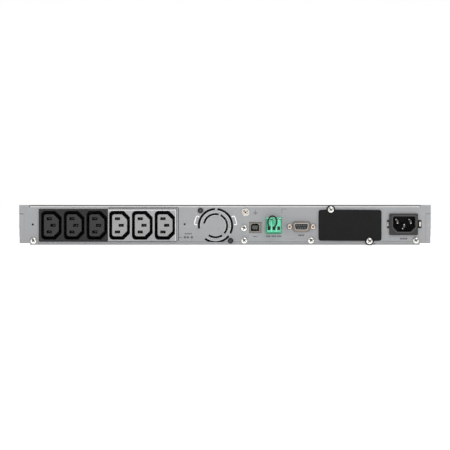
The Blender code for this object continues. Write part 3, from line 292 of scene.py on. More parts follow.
def circuit_laminate(name):
    """Green solder mask over copper tracks, with pads showing as brighter dots."""
    made, g = new_material(name)
    tracks = g.node("ShaderNodeTexBrick", {"offset": 0.37, "squash": 1.6},
                    {"Vector": g.mapped((1.0, 1.0, 1.0), (0.0, 0.0, 0.0)), "Scale": 46.0,
                     "Mortar Size": 0.012, "Mortar Smooth": 0.4, "Bias": 0.0}, "Fac")
    fine = g.node("ShaderNodeTexBrick", {"offset": 0.21, "squash": 0.7},
                  {"Vector": g.mapped((1.0, 1.0, 1.0), (0.0, 0.0, math.pi / 2)), "Scale": 110.0,
                   "Mortar Size": 0.02, "Mortar Smooth": 0.4, "Bias": 0.0}, "Fac")
    pads = 1.0 - g.cells(260.0).above(0.16, 0.03)
    tone = g.noise(20.0, 2.0)
    base = g.blend(tone, (0.008, 0.075, 0.03), (0.015, 0.12, 0.05))
    base = g.blend(tracks, base, (0.03, 0.24, 0.09))
    base = g.blend(fine * 0.6, base, (0.02, 0.19, 0.07))
    base = g.blend(pads, base, (0.55, 0.50, 0.38))
    height = tracks + fine * 0.6 + pads
    g.surface(Base_Color=base, Roughness=0.38 - pads * 0.1, Metallic=pads * 0.8,
              Normal=g.bump(height, 0.3, 0.0001))
    return made


def laminations(name):
    """A stack of dark silicon-steel sheets, seen as fine horizontal lines under varnish."""
    made, g = new_material(name)
    rows = g.node("ShaderNodeTexWave", {"wave_type": "BANDS", "bands_direction": "Z"},
                  {"Vector": g.place(), "Scale": 320.0, "Distortion": 0.6, "Detail": 2.0})
    stain = g.noise(60.0, 4.0)
    base = g.blend(rows, (0.05, 0.045, 0.04), (0.17, 0.16, 0.15))
    base = g.blend(stain.above(0.6, 0.12) * 0.5, base, (0.20, 0.09, 0.03))
    g.surface(Base_Color=base, Roughness=0.42 + stain * 0.2, Metallic=0.7,
              Normal=g.bump(rows, 0.5, 0.0002))
    return made


def enamelled_copper(name):
    """Layers of enamelled winding wire side by side."""
    made, g = new_material(name)
    turns = g.node("ShaderNodeTexWave", {"wave_type": "BANDS", "bands_direction": "X"},
                   {"Vector": g.mapped((1.0, 1.0, 1.0)), "Scale": 210.0, "Distortion": 0.8,
                    "Detail": 1.0})
    tone = g.noise(90.0, 3.0)
    base = g.blend(turns, (0.16, 0.04, 0.012), (0.62, 0.22, 0.07))
    base = g.blend(tone * 0.5, base, (0.42, 0.13, 0.04))
    g.surface(Base_Color=base, Roughness=0.28 + tone * 0.15, Metallic=0.75,
              Normal=g.bump(turns, 0.7, 0.0003))
    return made


def display_lens(name):
    """A dark lens over a fine dot grid."""
    made, g = new_material(name)
    grid = g.cells(1300.0)
    haze = g.noise(30.0, 3.0)
    base = g.blend(grid.above(0.4, 0.2), (0.010, 0.022, 0.045), (0.014, 0.034, 0.070))
    g.surface(Base_Color=base, Roughness=0.07 + haze * 0.06, Coat_Weight=1.0, Coat_Roughness=0.04)
    return made


def lit(name, colour, strength):
    """A lit segment or light pipe, brighter in its middle."""
    made, g = new_material(name)
    glow = g.noise(400.0, 1.0)
    base = g.blend(glow, tuple(c * 0.7 for c in colour), colour)
    g.surface(Base_Color=base, Roughness=0.35, Emission_Color=base, Emission_Strength=strength)
    return made


def backdrop(name, colour, glow):
    """A pale matt floor that stays near white out to its far edge."""
    made, g = new_material(name)
    tone = g.noise(1.5, 2.0)
    base = g.blend(tone, tuple(c * 0.985 for c in colour), colour)
    g.surface(Base_Color=base, Roughness=0.9, Emission_Color=base, Emission_Strength=glow)
    return made


def plain_shade(name, colour, roughness=0.6):
    """A very dark or shaded surface inside a recess, with faint dust."""
    made, g = new_material(name)
    dust = g.noise(500.0, 3.0)
    base = g.blend(dust.above(0.6, 0.1) * 0.4, colour, tuple(min(1.0, c * 1.8 + 0.004) for c in colour))
    g.surface(Base_Color=base, Roughness=roughness + (dust - 0.5) * 0.2,
              Normal=g.bump(dust, 0.1, 0.00003))
    return made


WELL_SHADE = plain_shade("well_shade", (0.0035, 0.0035, 0.0035), 0.85)
RECESS = plain_shade("recess_shade", (0.045, 0.040, 0.036))
# dark plate, tarnished on small screws and contacts; it is also painted shade on the inlet pins and in the
# ring round the serial shell, and a painted highlight in the fan screws' recesses
TARNISH_SHADE_AND_SHEEN = plated("tarnished_plate", (0.16, 0.145, 0.13), 0.4, tarnish=(0.06, 0.05, 0.04))
RING_PLATE = plated("ring_plate", (0.82, 0.75, 0.69), 0.3, tarnish=(0.58, 0.49, 0.41))
COPPER_DARK = plated("dark_copper", (0.30, 0.11, 0.07), 0.4, tarnish=(0.12, 0.04, 0.03))
SHADOW_PAINT = powder_coat("shadow_paint", (0.080, 0.077, 0.072))
# pale paint for painted highlights on the fan grille's cut edges
SOFT_HIGHLIGHT = powder_coat("soft_bright_paint", (0.47, 0.47, 0.465))
FOAM = plain_shade("filter_foam", (0.006, 0.006, 0.006), 0.95)
# mid-grey paint for a painted shade band by the panel's right fold
HALF_SHADE_PAINT = powder_coat("middle_paint", (0.27, 0.272, 0.276))
# pale paint for painted highlights along the panel's top bend and bottom edge
HIGHLIGHT_PAINT = powder_coat("bright_paint", (0.66, 0.66, 0.65))
# charcoal a little lighter than the block, for the outlet noses and for painted highlights on the web ribs
DARK_NOSE_AND_HIGHLIGHT = moulded("dark_nose_mould", (0.024, 0.0236, 0.0242), 0.48, sheen=0.0, shine_level=0.35)
PALE_NOSE = moulded("pale_nose_mould", (0.285, 0.285, 0.285), 0.5, sheen=0.0)
# pale grey for a painted highlight along the pale outlet group's top and right edges
PALE_EDGE_HIGHLIGHT = moulded("pale_rim_mould", (0.55, 0.55, 0.545), 0.45)
INLET_EDGE = moulded("inlet_edge_mould", (0.060, 0.058, 0.058), 0.45, sheen=0.0, shine_level=0.3)
GREEN_SHADE = moulded("terminal_shade_mould", (0.030, 0.35, 0.18), 0.4)
# pale green for painted highlights on the terminal header's top band and the plug's ribs
GREEN_HIGHLIGHT_MOULD = moulded("terminal_light_mould", (0.22, 0.76, 0.50), 0.34)
PAINT = powder_coat("panel_paint", (0.300, 0.304, 0.311), lift=1.05)
COVER_PAINT = powder_coat("cover_paint", (0.300, 0.304, 0.311), pit=0.3, lift=1.04)
ZINC = galvanised("zinc_sheet", (0.60, 0.60, 0.59))
NICKEL = plated("nickel_plate", (0.88, 0.87, 0.84), 0.26)
WARM_PLATE = plated("warm_plate", (0.74, 0.66, 0.60), 0.3, tarnish=(0.42, 0.27, 0.20))
SHELL_PLATE = plated("shell_plate", (0.26, 0.24, 0.22), 0.38)
GOLD = plated("contact_gold", (0.85, 0.62, 0.25), 0.25)
CHARCOAL = moulded("charcoal_mould", (0.0145, 0.0142, 0.014), 0.5, sheen=0.0, shine_level=0.3)
PALE = moulded("pale_mould", (0.31, 0.312, 0.316), 0.5, sheen=0.0)
INLET_MOULD = moulded("inlet_mould", (0.029, 0.0282, 0.0282), 0.5, sheen=0.0, shine_level=0.3)
BLACK = moulded("black_mould", (0.012, 0.012, 0.013), 0.42, sheen=0.0, shine_level=0.25)
BEZEL = moulded("bezel_mould", (0.016, 0.0165, 0.018), 0.46, 2400.0, 0.5)
KEYCAP = moulded("keycap_mould", (0.085, 0.087, 0.092), 0.36)
GREEN = moulded("terminal_mould", (0.105, 0.55, 0.335), 0.36, depth=0.2, sheen=0.3)
TONGUE = moulded("tongue_mould", (0.055, 0.055, 0.056), 0.4)
SLEEVE = moulded("wire_sleeve", (0.007, 0.008, 0.0075), 0.45, 2000.0, 0.2, 0.0, 0.25)
RED_SLEEVE = moulded("red_sleeve", (0.45, 0.012, 0.010), 0.38, 2000.0, 0.2, 0.3)
BATTERY = moulded("battery_case", (0.050, 0.052, 0.058), 0.5, 1500.0, 0.4)
TAPE = moulded("yellow_tape", (0.62, 0.43, 0.03), 0.35, 1200.0, 0.2, 0.4)
CERAMIC = moulded("component_mould", (0.018, 0.018, 0.020), 0.35)
RELAY = moulded("relay_mould", (0.02, 0.06, 0.22), 0.35)
BLUE_SLEEVE = moulded("capacitor_sleeve", (0.012, 0.022, 0.075), 0.3, 1800.0, 0.15, 0.4)
WRINKLE = wrinkle_paint("wrinkle_enamel", (0.0055, 0.0055, 0.0058))
EAR_PAINT = powder_coat("ear_paint", (0.020, 0.020, 0.021), 0.5, 0.48, 0.0, 1.3)
DARK_INK = ink("dark_ink", (0.085, 0.085, 0.09))
GREY_INK = ink("grey_ink", (0.20, 0.20, 0.205))
WHITE_INK = ink("white_ink", (0.92, 0.92, 0.92))
BOARD = circuit_laminate("circuit_laminate")
CORE = laminations("core_laminations")
COPPER = enamelled_copper("winding_copper")
EXTRUDED = plated("extruded_aluminium", (0.72, 0.72, 0.73), 0.34, (30.0, 1.0, 1.0), (0.5, 0.5, 0.5))
LENS = display_lens("display_lens")
SEGMENT = lit("display_segment", (0.45, 0.75, 1.0), 1.2)
GREEN_LIGHT = lit("green_light", (0.1, 0.9, 0.25), 1.5)


# ---------------------------------------------------------------- making pieces
def rides(obj, body, slot, *nodes):
    """Hand a finished piece to its body and hide the nodes that it stands for; the slot is not used."""
    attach(obj, body)
    if nodes:
        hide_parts(*nodes)
    return obj


def link(name, mesh):
    obj = bpy.data.objects.new(name, mesh)
    SCENE.collection.objects.link(obj)
    return obj


def from_shape(name, shape, material=None):
    """An object from a bmesh, with normals out and smooth where the faces turn gently."""
    bmesh.ops.remove_doubles(shape, verts=shape.verts, dist=0.000001)
    bmesh.ops.recalc_face_normals(shape, faces=shape.faces)
    mesh = bpy.data.meshes.new(name)
    shape.to_mesh(mesh)
    shape.free()
    if material:
        mesh.materials.append(material)
    shade(mesh)
    return link(name, mesh)


def shade(mesh, smooth_deg=38.0):
    mesh.shade_smooth()
    mesh.set_sharp_from_angle(angle=math.radians(smooth_deg))


def settle(obj):
    """Make the modifiers' result the object's plain mesh, placed in the vertices."""
    bpy.context.view_layer.update()
    evaluated = obj.evaluated_get(bpy.context.evaluated_depsgraph_get())
    mesh = bpy.data.meshes.new_from_object(evaluated)
    mesh.transform(obj.matrix_world)
    name = obj.name
    bpy.data.objects.remove(obj)
    made = link(name, mesh)
    made.name = name
    return made


def round_edges(obj, width, segments=2, angle_deg=30.0):
    """Ease the sharp edges; the flat faces keep flat shading and the eased edges take the turn."""
    obj.data.shade_smooth()
    bevel = obj.modifiers.new("round", "BEVEL")
    bevel.width = width
    bevel.segments = segments
    bevel.limit_method = "ANGLE"
    bevel.angle_limit = math.radians(angle_deg)
    weighted = obj.modifiers.new("weighted", "WEIGHTED_NORMAL")
    weighted.weight = 100
    weighted.keep_sharp = True
    return obj


def welded(obj):
    """Join the loose caps of a curve's mesh."""
    shape = bmesh.new()
    shape.from_mesh(obj.data)
    bmesh.ops.remove_doubles(shape, verts=shape.verts, dist=0.000001)
    shape.to_mesh(obj.data)
    shape.free()
    return obj


def carve(obj, cutter):
    """Cut a piece with another one, which is used up."""
    boolean = obj.modifiers.new(cutter.name, "BOOLEAN")
    boolean.operation = "DIFFERENCE"
    boolean.object = cutter
    boolean.solver = "EXACT"
    made = settle(obj)
    bpy.data.objects.remove(cutter)
    return made


def node_copy(node, name):
    """A CAD node's shape as a welded mesh with flat faces joined."""
    shape = bmesh.new()
    shape.from_mesh(NODES[node].data)
    bmesh.ops.remove_doubles(shape, verts=shape.verts, dist=0.000002)
    bmesh.ops.dissolve_limit(shape, angle_limit=math.radians(0.4), verts=shape.verts, edges=shape.edges)
    mesh = bpy.data.meshes.new(name)
    shape.to_mesh(mesh)
    shape.free()
    return link(name, mesh)


def paint(obj, material):
    obj.data.materials.clear()
    obj.data.materials.append(material)
    for polygon in obj.data.polygons:
        polygon.material_index = 0
    return obj


def body_of(node):
    return NODES[node]["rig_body"]


def slot_of(node):
    for entry in frame["record"]["subparts"]:
        if entry["node"] == node:
            return entry["material_slot"]
    return None


def rounded_node(node, material, width=0.0002, segments=2, cutters=(), angle_deg=30.0):
    """A CAD node's own shape with eased edges and any finer cuts, standing for the node."""
    obj = node_copy(node, node + "_finished")
    for cutter in cutters:
        obj = carve(obj, cutter)
    if width:
        obj = settle(round_edges(obj, width, segments, angle_deg))
    else:
        shade(obj.data, 20.0)
    paint(obj, material)
    return rides(obj, body_of(node), slot_of(node), node)


def cuboid(name, lowest, highest, material=None, width=0.0, segments=2):
    shape = bmesh.new()
    bmesh.ops.create_cube(shape, size=1.0)
    size = Vector(highest) - Vector(lowest)
    bmesh.ops.scale(shape, vec=size, verts=shape.verts)
    bmesh.ops.translate(shape, vec=(Vector(lowest) + Vector(highest)) / 2, verts=shape.verts)
    obj = from_shape(name, shape, material)
    if width:
        obj = settle(round_edges(obj, width, segments))
    return obj


def turned(name, profile, steps, material=None):
    """A profile of (radius, height) turned about Z."""
    shape = bmesh.new()
    verts = [shape.verts.new((radius, 0.0, height)) for radius, height in profile]
    edges = [shape.edges.new(pair) for pair in zip(verts, verts[1:])]
    bmesh.ops.spin(shape, geom=verts + edges, cent=(0, 0, 0), axis=(0, 0, 1),
                   angle=2 * math.pi, steps=steps, use_merge=True)
    return from_shape(name, shape, material)


def outline_shape(width, height, cuts, centre=(0.0, 0.0)):
    """A rectangle with cut corners, each (size, steps), from the top right anticlockwise."""
    points = []
    for index, (size, steps) in enumerate(cuts):
        corner_x = centre[0] + (1 if index in (0, 3) else -1) * (width / 2 - size)
        corner_z = centre[1] + (1 if index in (0, 1) else -1) * (height / 2 - size)
        for step in range(steps + 1):
            angle = math.pi / 2 * (index + step / max(steps, 1))
            points.append((corner_x + size * math.cos(angle), corner_z + size * math.sin(angle)))
    return points


def circle_shape(centre, radius, steps=24):
    angles = [2 * math.pi * step / steps for step in range(steps)]
    return [(centre[0] + radius * math.cos(a), centre[1] + radius * math.sin(a)) for a in angles]


def signed_area(outline):
    following = outline[1:] + outline[:1]
    return sum(x * after_z - after_x * z for (x, z), (after_x, after_z) in zip(outline, following)) / 2


def upright_plate(name, outlines, near_y, far_y, material=None, ease=0.0):
    """Filled outlines in XZ between two Y planes: the first is the outside and the others are holes."""
    curve = bpy.data.curves.new(name, "CURVE")
    curve.dimensions = "2D"
    curve.fill_mode = "BOTH"
    curve.extrude = (far_y - near_y) / 2 - ease
    curve.bevel_depth = ease
    curve.bevel_resolution = 0
    curve.offset = -ease
    for index, outline in enumerate(outlines):
        if (signed_area(outline) > 0) != (index == 0):
            outline = outline[::-1]
        spline = curve.splines.new("POLY")
        spline.points.add(len(outline) - 1)
        for point, (x, z) in zip(spline.points, outline):
            point.co = (x, z, 0.0, 1.0)
        spline.use_cyclic_u = True
    obj = link(name, curve)
    obj.rotation_euler = (math.pi / 2, 0.0, 0.0)
    obj.location = (0.0, (near_y + far_y) / 2, 0.0)
    obj = welded(settle(obj))
    shade(obj.data, 25.0)
    if material:
        paint(obj, material)
    return obj


def face_outlines(node, y):
    """Loops of (x, z) round a CAD node's flat face at a Y plane: the outside, then its holes."""
    shape = bmesh.new()
    shape.from_mesh(NODES[node].data)
    bmesh.ops.remove_doubles(shape, verts=shape.verts, dist=0.000002)
    flat = {face for face in shape.faces if all(abs(vert.co.y - y) < 0.00002 for vert in face.verts)}
    after = {}
    for face in flat:
        for corner in face.loops:
            if not any(other in flat for other in corner.edge.link_faces if other is not face):
                after[corner.vert] = corner.link_loop_next.vert
    loops = []
    while after:
        start, vert = after.popitem()
        run = [start]
        while vert is not start:
            run.append(vert)
            vert = after.pop(vert)
        loops.append([(vert.co.x, vert.co.z) for vert in run])
    shape.free()
    return sorted(loops, key=lambda loop: -abs(signed_area(loop)))


def loft(name, rings, material, closed=False):
    """Skin through rings of equal count; the ends are capped, or joined when closed."""
    shape = bmesh.new()
    rows = [[shape.verts.new(point) for point in ring] for ring in rings]
    pairs = list(zip(rows, rows[1:]))
    if closed:
        pairs.append((rows[-1], rows[0]))
    for first, second in pairs:
        for index in range(len(first)):
            after = (index + 1) % len(first)
            shape.faces.new((first[index], first[after], second[after], second[index]))
    if not closed:
        shape.faces.new(rows[0])
        shape.faces.new(rows[-1])
    return from_shape(name, shape, material)


def ring_at(outline, y):
    return [(x, y, z) for x, z in outline]


def joined(name, pieces):
    """Several finished meshes as one piece, keeping their materials."""
    shape = bmesh.new()
    materials = []
    for piece in pieces:
        part = piece.data.copy()
        offset = len(materials)
        materials += list(part.materials)
        start = len(shape.faces)
        shape.from_mesh(part)
        shape.faces.ensure_lookup_table()
        for face in shape.faces[start:]:
            face.material_index += offset
        bpy.data.meshes.remove(part)
        bpy.data.objects.remove(piece)
    mesh = bpy.data.meshes.new(name)
    shape.to_mesh(mesh)
    shape.free()
    for material in materials:
        mesh.materials.append(material)
    shade(mesh)
    return link(name, mesh)


# ---------------------------------------------------------------- growing what repeats
def geometry_tree(name, sockets):
    """A new geometry tree with a mesh input and named inputs, and its graph."""
    tree = bpy.data.node_groups.new(name, "GeometryNodeTree")
    tree.interface.new_socket("Mesh", in_out="INPUT", socket_type="NodeSocketGeometry")
    for label, kind in sockets:
        tree.interface.new_socket(label, in_out="INPUT", socket_type="NodeSocket" + kind)
    tree.interface.new_socket("Mesh", in_out="OUTPUT", socket_type="NodeSocketGeometry")
    graph = Graph(tree)
    entry = tree.nodes.new("NodeGroupInput")
    given = {socket.name: Value(graph, socket) for socket in entry.outputs if socket.name}
    return tree, graph, given


def finish_tree(graph, instances, material):
    solid = graph.node("GeometryNodeRealizeInstances", None, {"Geometry": instances})
    painted = graph.node("GeometryNodeSetMaterial", None, {"Geometry": solid, "Material": material})
    leave = graph.tree.nodes.new("NodeGroupOutput")
    graph.feed(leave.inputs[0], painted)


def row_tree():
    """Count copies of a piece, a step apart."""
    tree, g, given = geometry_tree("row_of_pieces", (("Piece", "Object"), ("Count", "Int"),
                                   ("Start", "Vector"), ("Step", "Vector"), ("Finish", "Material")))
    line = g.node("GeometryNodeMeshLine", {"mode": "OFFSET"},
                  {"Count": given["Count"], "Start Location": given["Start"], "Offset": given["Step"]})
    piece = g.node("GeometryNodeObjectInfo", None, {"Object": given["Piece"]}, "Geometry")
    copies = g.node("GeometryNodeInstanceOnPoints", None, {"Points": line, "Instance": piece})
    finish_tree(g, copies, given["Finish"])
    return tree


def ring_tree():
    """Count copies of a piece turned about Z, each pushed out by a radius."""
    tree, g, given = geometry_tree("ring_of_pieces", (("Piece", "Object"), ("Count", "Int"),
                                   ("Radius", "Float"), ("Finish", "Material")))
    spots = g.node("GeometryNodeMeshLine", {"mode": "OFFSET"},
                   {"Count": given["Count"], "Offset": (0.0, 0.0, 0.0)})
    index = g.node("GeometryNodeInputIndex")
    angle = index * (2 * math.pi) / given["Count"]
    turn = g.node("ShaderNodeCombineXYZ", None, {"Z": angle})
    out = g.node("ShaderNodeCombineXYZ", None, {"X": angle.math("COSINE") * given["Radius"],
                                                "Y": angle.math("SINE") * given["Radius"]})
    spread = g.node("GeometryNodeSetPosition", None, {"Geometry": spots, "Position": out})
    piece = g.node("GeometryNodeObjectInfo", None, {"Object": given["Piece"]}, "Geometry")
    copies = g.node("GeometryNodeInstanceOnPoints", None,
                    {"Points": spread, "Instance": piece, "Rotation": turn})
    finish_tree(g, copies, given["Finish"])
    return tree


def places_tree():
    """A copy at each vertex of the mesh, turned about Y by its turn and sized by its size."""
    tree, g, given = geometry_tree("pieces_at_places", (("Piece", "Object"), ("Finish", "Material")))
    turn = g.node("GeometryNodeInputNamedAttribute", {"data_type": "FLOAT"}, {"Name": "turn"})
    size = g.node("GeometryNodeInputNamedAttribute", {"data_type": "FLOAT"}, {"Name": "size"})
    about = g.node("ShaderNodeCombineXYZ", None, {"Y": turn})
    piece = g.node("GeometryNodeObjectInfo", None, {"Object": given["Piece"]}, "Geometry")
    copies = g.node("GeometryNodeInstanceOnPoints", None,
                    {"Points": given["Mesh"], "Instance": piece, "Rotation": about, "Scale": size})
    finish_tree(g, copies, given["Finish"])
    return tree


def scatter_tree():
    """Small parts spread over a face at a fixed seed, squared to the board, in varied sizes."""
    tree, g, given = geometry_tree("scattered_parts", (("Piece", "Object"), ("Spacing", "Float"),
                                   ("Density", "Float"), ("Seed", "Int"), ("Finish", "Material")))
    spots = g.node("GeometryNodeDistributePointsOnFaces", {"distribute_method": "POISSON"},
                   {"Mesh": given["Mesh"], "Distance Min": given["Spacing"],
                    "Density Max": given["Density"], "Seed": given["Seed"]})
    quarter = g.node("FunctionNodeRandomValue", {"data_type": "INT"},
                     {4: 0, 5: 3, "Seed": given["Seed"]}, 2)
    turn = g.node("ShaderNodeCombineXYZ", None, {"Z": quarter * (math.pi / 2)})
    size = g.node("FunctionNodeRandomValue", {"data_type": "FLOAT"},
                  {2: 0.7, 3: 1.3, "Seed": given["Seed"]}, 1)
    piece = g.node("GeometryNodeObjectInfo", None, {"Object": given["Piece"]}, "Geometry")
    copies = g.node("GeometryNodeInstanceOnPoints", None,
                    {"Points": spots, "Instance": piece, "Rotation": turn, "Scale": size})
    finish_tree(g, copies, given["Finish"])
    return tree


ROW = row_tree()
RING = ring_tree()
PLACES = places_tree()
SCATTER = scatter_tree()


def grow(name, tree, piece, material, matrix=None, ground=None, **sizes):
    """Run a tree on a piece, keep the result as a plain mesh and discard the piece."""
    carrier = link(name, ground or bpy.data.meshes.new(name))
    modifier = carrier.modifiers.new("grow", "NODES")
    modifier.node_group = tree
    values = {"Piece": piece, "Finish": material}
    values.update({key.capitalize(): value for key, value in sizes.items()})
    for item in tree.interface.items_tree:
        if item.in_out == "INPUT" and item.name in values:
            modifier[item.identifier] = values[item.name]
    if matrix is not None:
        carrier.matrix_world = matrix
    made = settle(carrier)
    bpy.data.objects.remove(piece)
    return made


def spots(places):
    """Loose vertices for PLACES: (position, turn, size) each."""
    mesh = bpy.data.meshes.new("spots")
    mesh.from_pydata([tuple(place) for place, _turn, _size in places], [], [])
    for label, column in (("turn", 1), ("size", 2)):
        attribute = mesh.attributes.new(label, "FLOAT", "POINT")
        attribute.data.foreach_set("value", [float(entry[column]) for entry in places])
    return mesh


FACING_REAR = Matrix.Rotation(math.pi / 2, 4, "X")
FACING_FRONT = Matrix.Rotation(-math.pi / 2, 4, "X")


def baked_turn(obj, matrix):
    obj.data.transform(matrix)
    obj.data.update()
    return obj


# ---------------------------------------------------------------- screws
def plus_outline(reach, arm):
    """The twelve corners of a plus sign in XY."""
    half = arm / 2
    return [(reach, -half), (reach, half), (half, half), (half, reach), (-half, reach), (-half, half),
            (-reach, half), (-reach, -half), (-half, -half), (-half, -reach), (half, -reach),
            (half, -half)]


def cross_cutter(reach, arm, depth, top):
    """A tapered cross for a driver's recess, opening upwards at a height."""
    lower = [(x, y, top - depth) for x, y in plus_outline(reach * 0.6, arm * 0.6)]
    upper = [(x, y, top + depth * 0.3) for x, y in plus_outline(reach, arm)]
    return loft("recess_cutter", [lower, upper], None)


def pan_head(name, radius, rise, shank, length, recess=0.72):
    """A domed head over a short shank, its cross recess cut in; the seat is at 0."""
    dome = []
    for step in range(9):
        angle = math.pi / 2 * step / 8
        dome.append((radius * math.sin(angle) ** 0.85,
                     rise * (0.30 + 0.70 * max(math.cos(angle), 0.0) ** 1.4)))
    profile = dome + [(radius, 0.12 * rise), (radius * 0.97, 0.0), (shank, 0.0), (shank, -length),
                      (0.0, -length)]
    head = turned(name, profile, 36)
    reach = radius * recess
    arm = radius * 0.36
    head = carve(head, cross_cutter(reach, arm, rise * 0.6, rise))
    shade(head.data, 40.0)
    return head


def recess_floor(radius, rise, recess=0.72):
    """The painted bottom of a screw's recess: painted shade in the bright screws, a painted highlight in
    the black fan screws.
    """
    reach, arm = radius * recess * 0.86, radius * 0.36 * 0.84
    lower = [(x, y, rise * 0.42) for x, y in plus_outline(reach, arm)]
    upper = [(x, y, rise * 0.60) for x, y in plus_outline(reach, arm)]
    return loft("recess_floor", [lower, upper], None)


def screw_row(name, nodes, radius, material, floor_material, turns):
    """Screws that stand for several nodes at once, each at its own angle."""
    places = []
    for node, turn in zip(nodes, turns):
        centre = middle(node)
        seat_y = low(node).y + SCREW_RISE[node]
        places.append(((centre.x, seat_y, centre.z), turn, 1.0))
    rise = radius * 0.67
    head = baked_turn(pan_head("screw", radius, rise, radius * 0.45, 0.004), FACING_REAR)
    heads = grow("heads", PLACES, head, material, ground=spots(places))
    floor = baked_turn(recess_floor(radius, rise), FACING_REAR)
    floors = grow("floors", PLACES, floor, floor_material, ground=spots(places))
    return rides(joined(name, [heads, floors]), "case", slot_of(nodes[0]), *nodes)


PANEL_SCREWS = ["panel_screw_left", "panel_screw_upper", "panel_screw_lower", "panel_screw_middle",
                "panel_screw_right", "slot_screw_upper", "slot_screw_lower"]
FAN_SCREWS = ["fan_screw_upper", "fan_screw_lower"]
SCREW_RADIUS = (high("panel_screw_left").x - low("panel_screw_left").x) / 2
EARTH_RADIUS = (high("earth_screw").x - low("earth_screw").x) / 2
FAN_SCREW_RADIUS = (high("fan_screw_upper").x - low("fan_screw_upper").x) / 2
SCREW_RISE = {node: (high(node).x - low(node).x) / 2 * 0.66 for node in PANEL_SCREWS + FAN_SCREWS}


def make_fasteners():
    turns = [0.9, 0.45, 0.75, 0.55, 0.95, 0.75, 0.6]
    screw_row("panel_screw_heads", PANEL_SCREWS, SCREW_RADIUS * 0.985, NICKEL, RECESS, turns)
    # the fan screws' recess floors are lighter than their black heads: a painted highlight cross
    screw_row("fan_screw_heads", FAN_SCREWS, FAN_SCREW_RADIUS * 0.985, BLACK, TARNISH_SHADE_AND_SHEEN, (0.7, 0.75))
    rise = EARTH_RADIUS * 0.66
    centre = middle("earth_screw")
    seat = Matrix.Translation((centre.x, low("earth_screw").y + rise, centre.z)) @ FACING_REAR
    head_radius = EARTH_RADIUS * 0.78
    head = pan_head("earth_head", head_radius, rise * 0.98, EARTH_RADIUS * 0.4, 0.006)
    twist = seat @ Matrix.Rotation(0.8, 4, "Z")
    paint(baked_turn(head, twist), WARM_PLATE)
    floor = paint(baked_turn(recess_floor(head_radius, rise), twist), RECESS)
    tooth = cuboid("tooth", (-0.0006, -0.0004, 0.0), (0.0005, 0.0004, 0.0005), None, 0.0001)
    baked_turn(tooth, Matrix.Rotation(0.35, 4, "X"))
    teeth = grow("teeth", RING, tooth, NICKEL, matrix=seat, count=18, radius=EARTH_RADIUS * 0.88)
    washer = turned("washer", [(EARTH_RADIUS * 0.45, 0.0005), (EARTH_RADIUS * 0.93, 0.0005),
                               (EARTH_RADIUS * 0.95, 0.0001), (EARTH_RADIUS * 0.45, 0.0001),
                               (EARTH_RADIUS * 0.45, 0.0005)], 36, NICKEL)
    baked_turn(washer, seat)
    pieces = [head, floor, washer, teeth]
    rides(joined("earth_screw_finished", pieces), "case", "bright_metal", "earth_screw")


# ---------------------------------------------------------------- case
def strip(name, x_range, z_range, proud, material, ease=0.0001):
    """A thin flat strip standing a little proud of the socket panel."""
    outline = [(x_range[0], z_range[0]), (x_range[1], z_range[0]), (x_range[1], z_range[1]),
               (x_range[0], z_range[1])]
    return upright_plate(name, [outline], PANEL_Y - proud, PANEL_Y + 0.0003, material, ease)


GRILLE = ((0.0177, 0.0026, ((92, 190), (-27, 83), (-128, -38))),
          (0.01255, 0.0023, ((75, 169), (-41, 64), (-125, -56))))


def flat_heads(name, places, matrix, radius=0.0031):
    """Low countersunk screws: places are (position, turn, size), heads facing +Z before the matrix."""
    head = carve(turned("flat",
                        [(0.0, 0.0), (radius * 0.94, 0.0), (radius, -0.0002), (radius * 0.55, -0.0009),
                                 (0.0, -0.0009)], 28),
                                 cross_cutter(radius * 0.6, radius * 0.26, 0.0006, 0.0))
    baked_turn(head, matrix)
    return grow(name, PLACES, head, NICKEL, ground=spots(places))


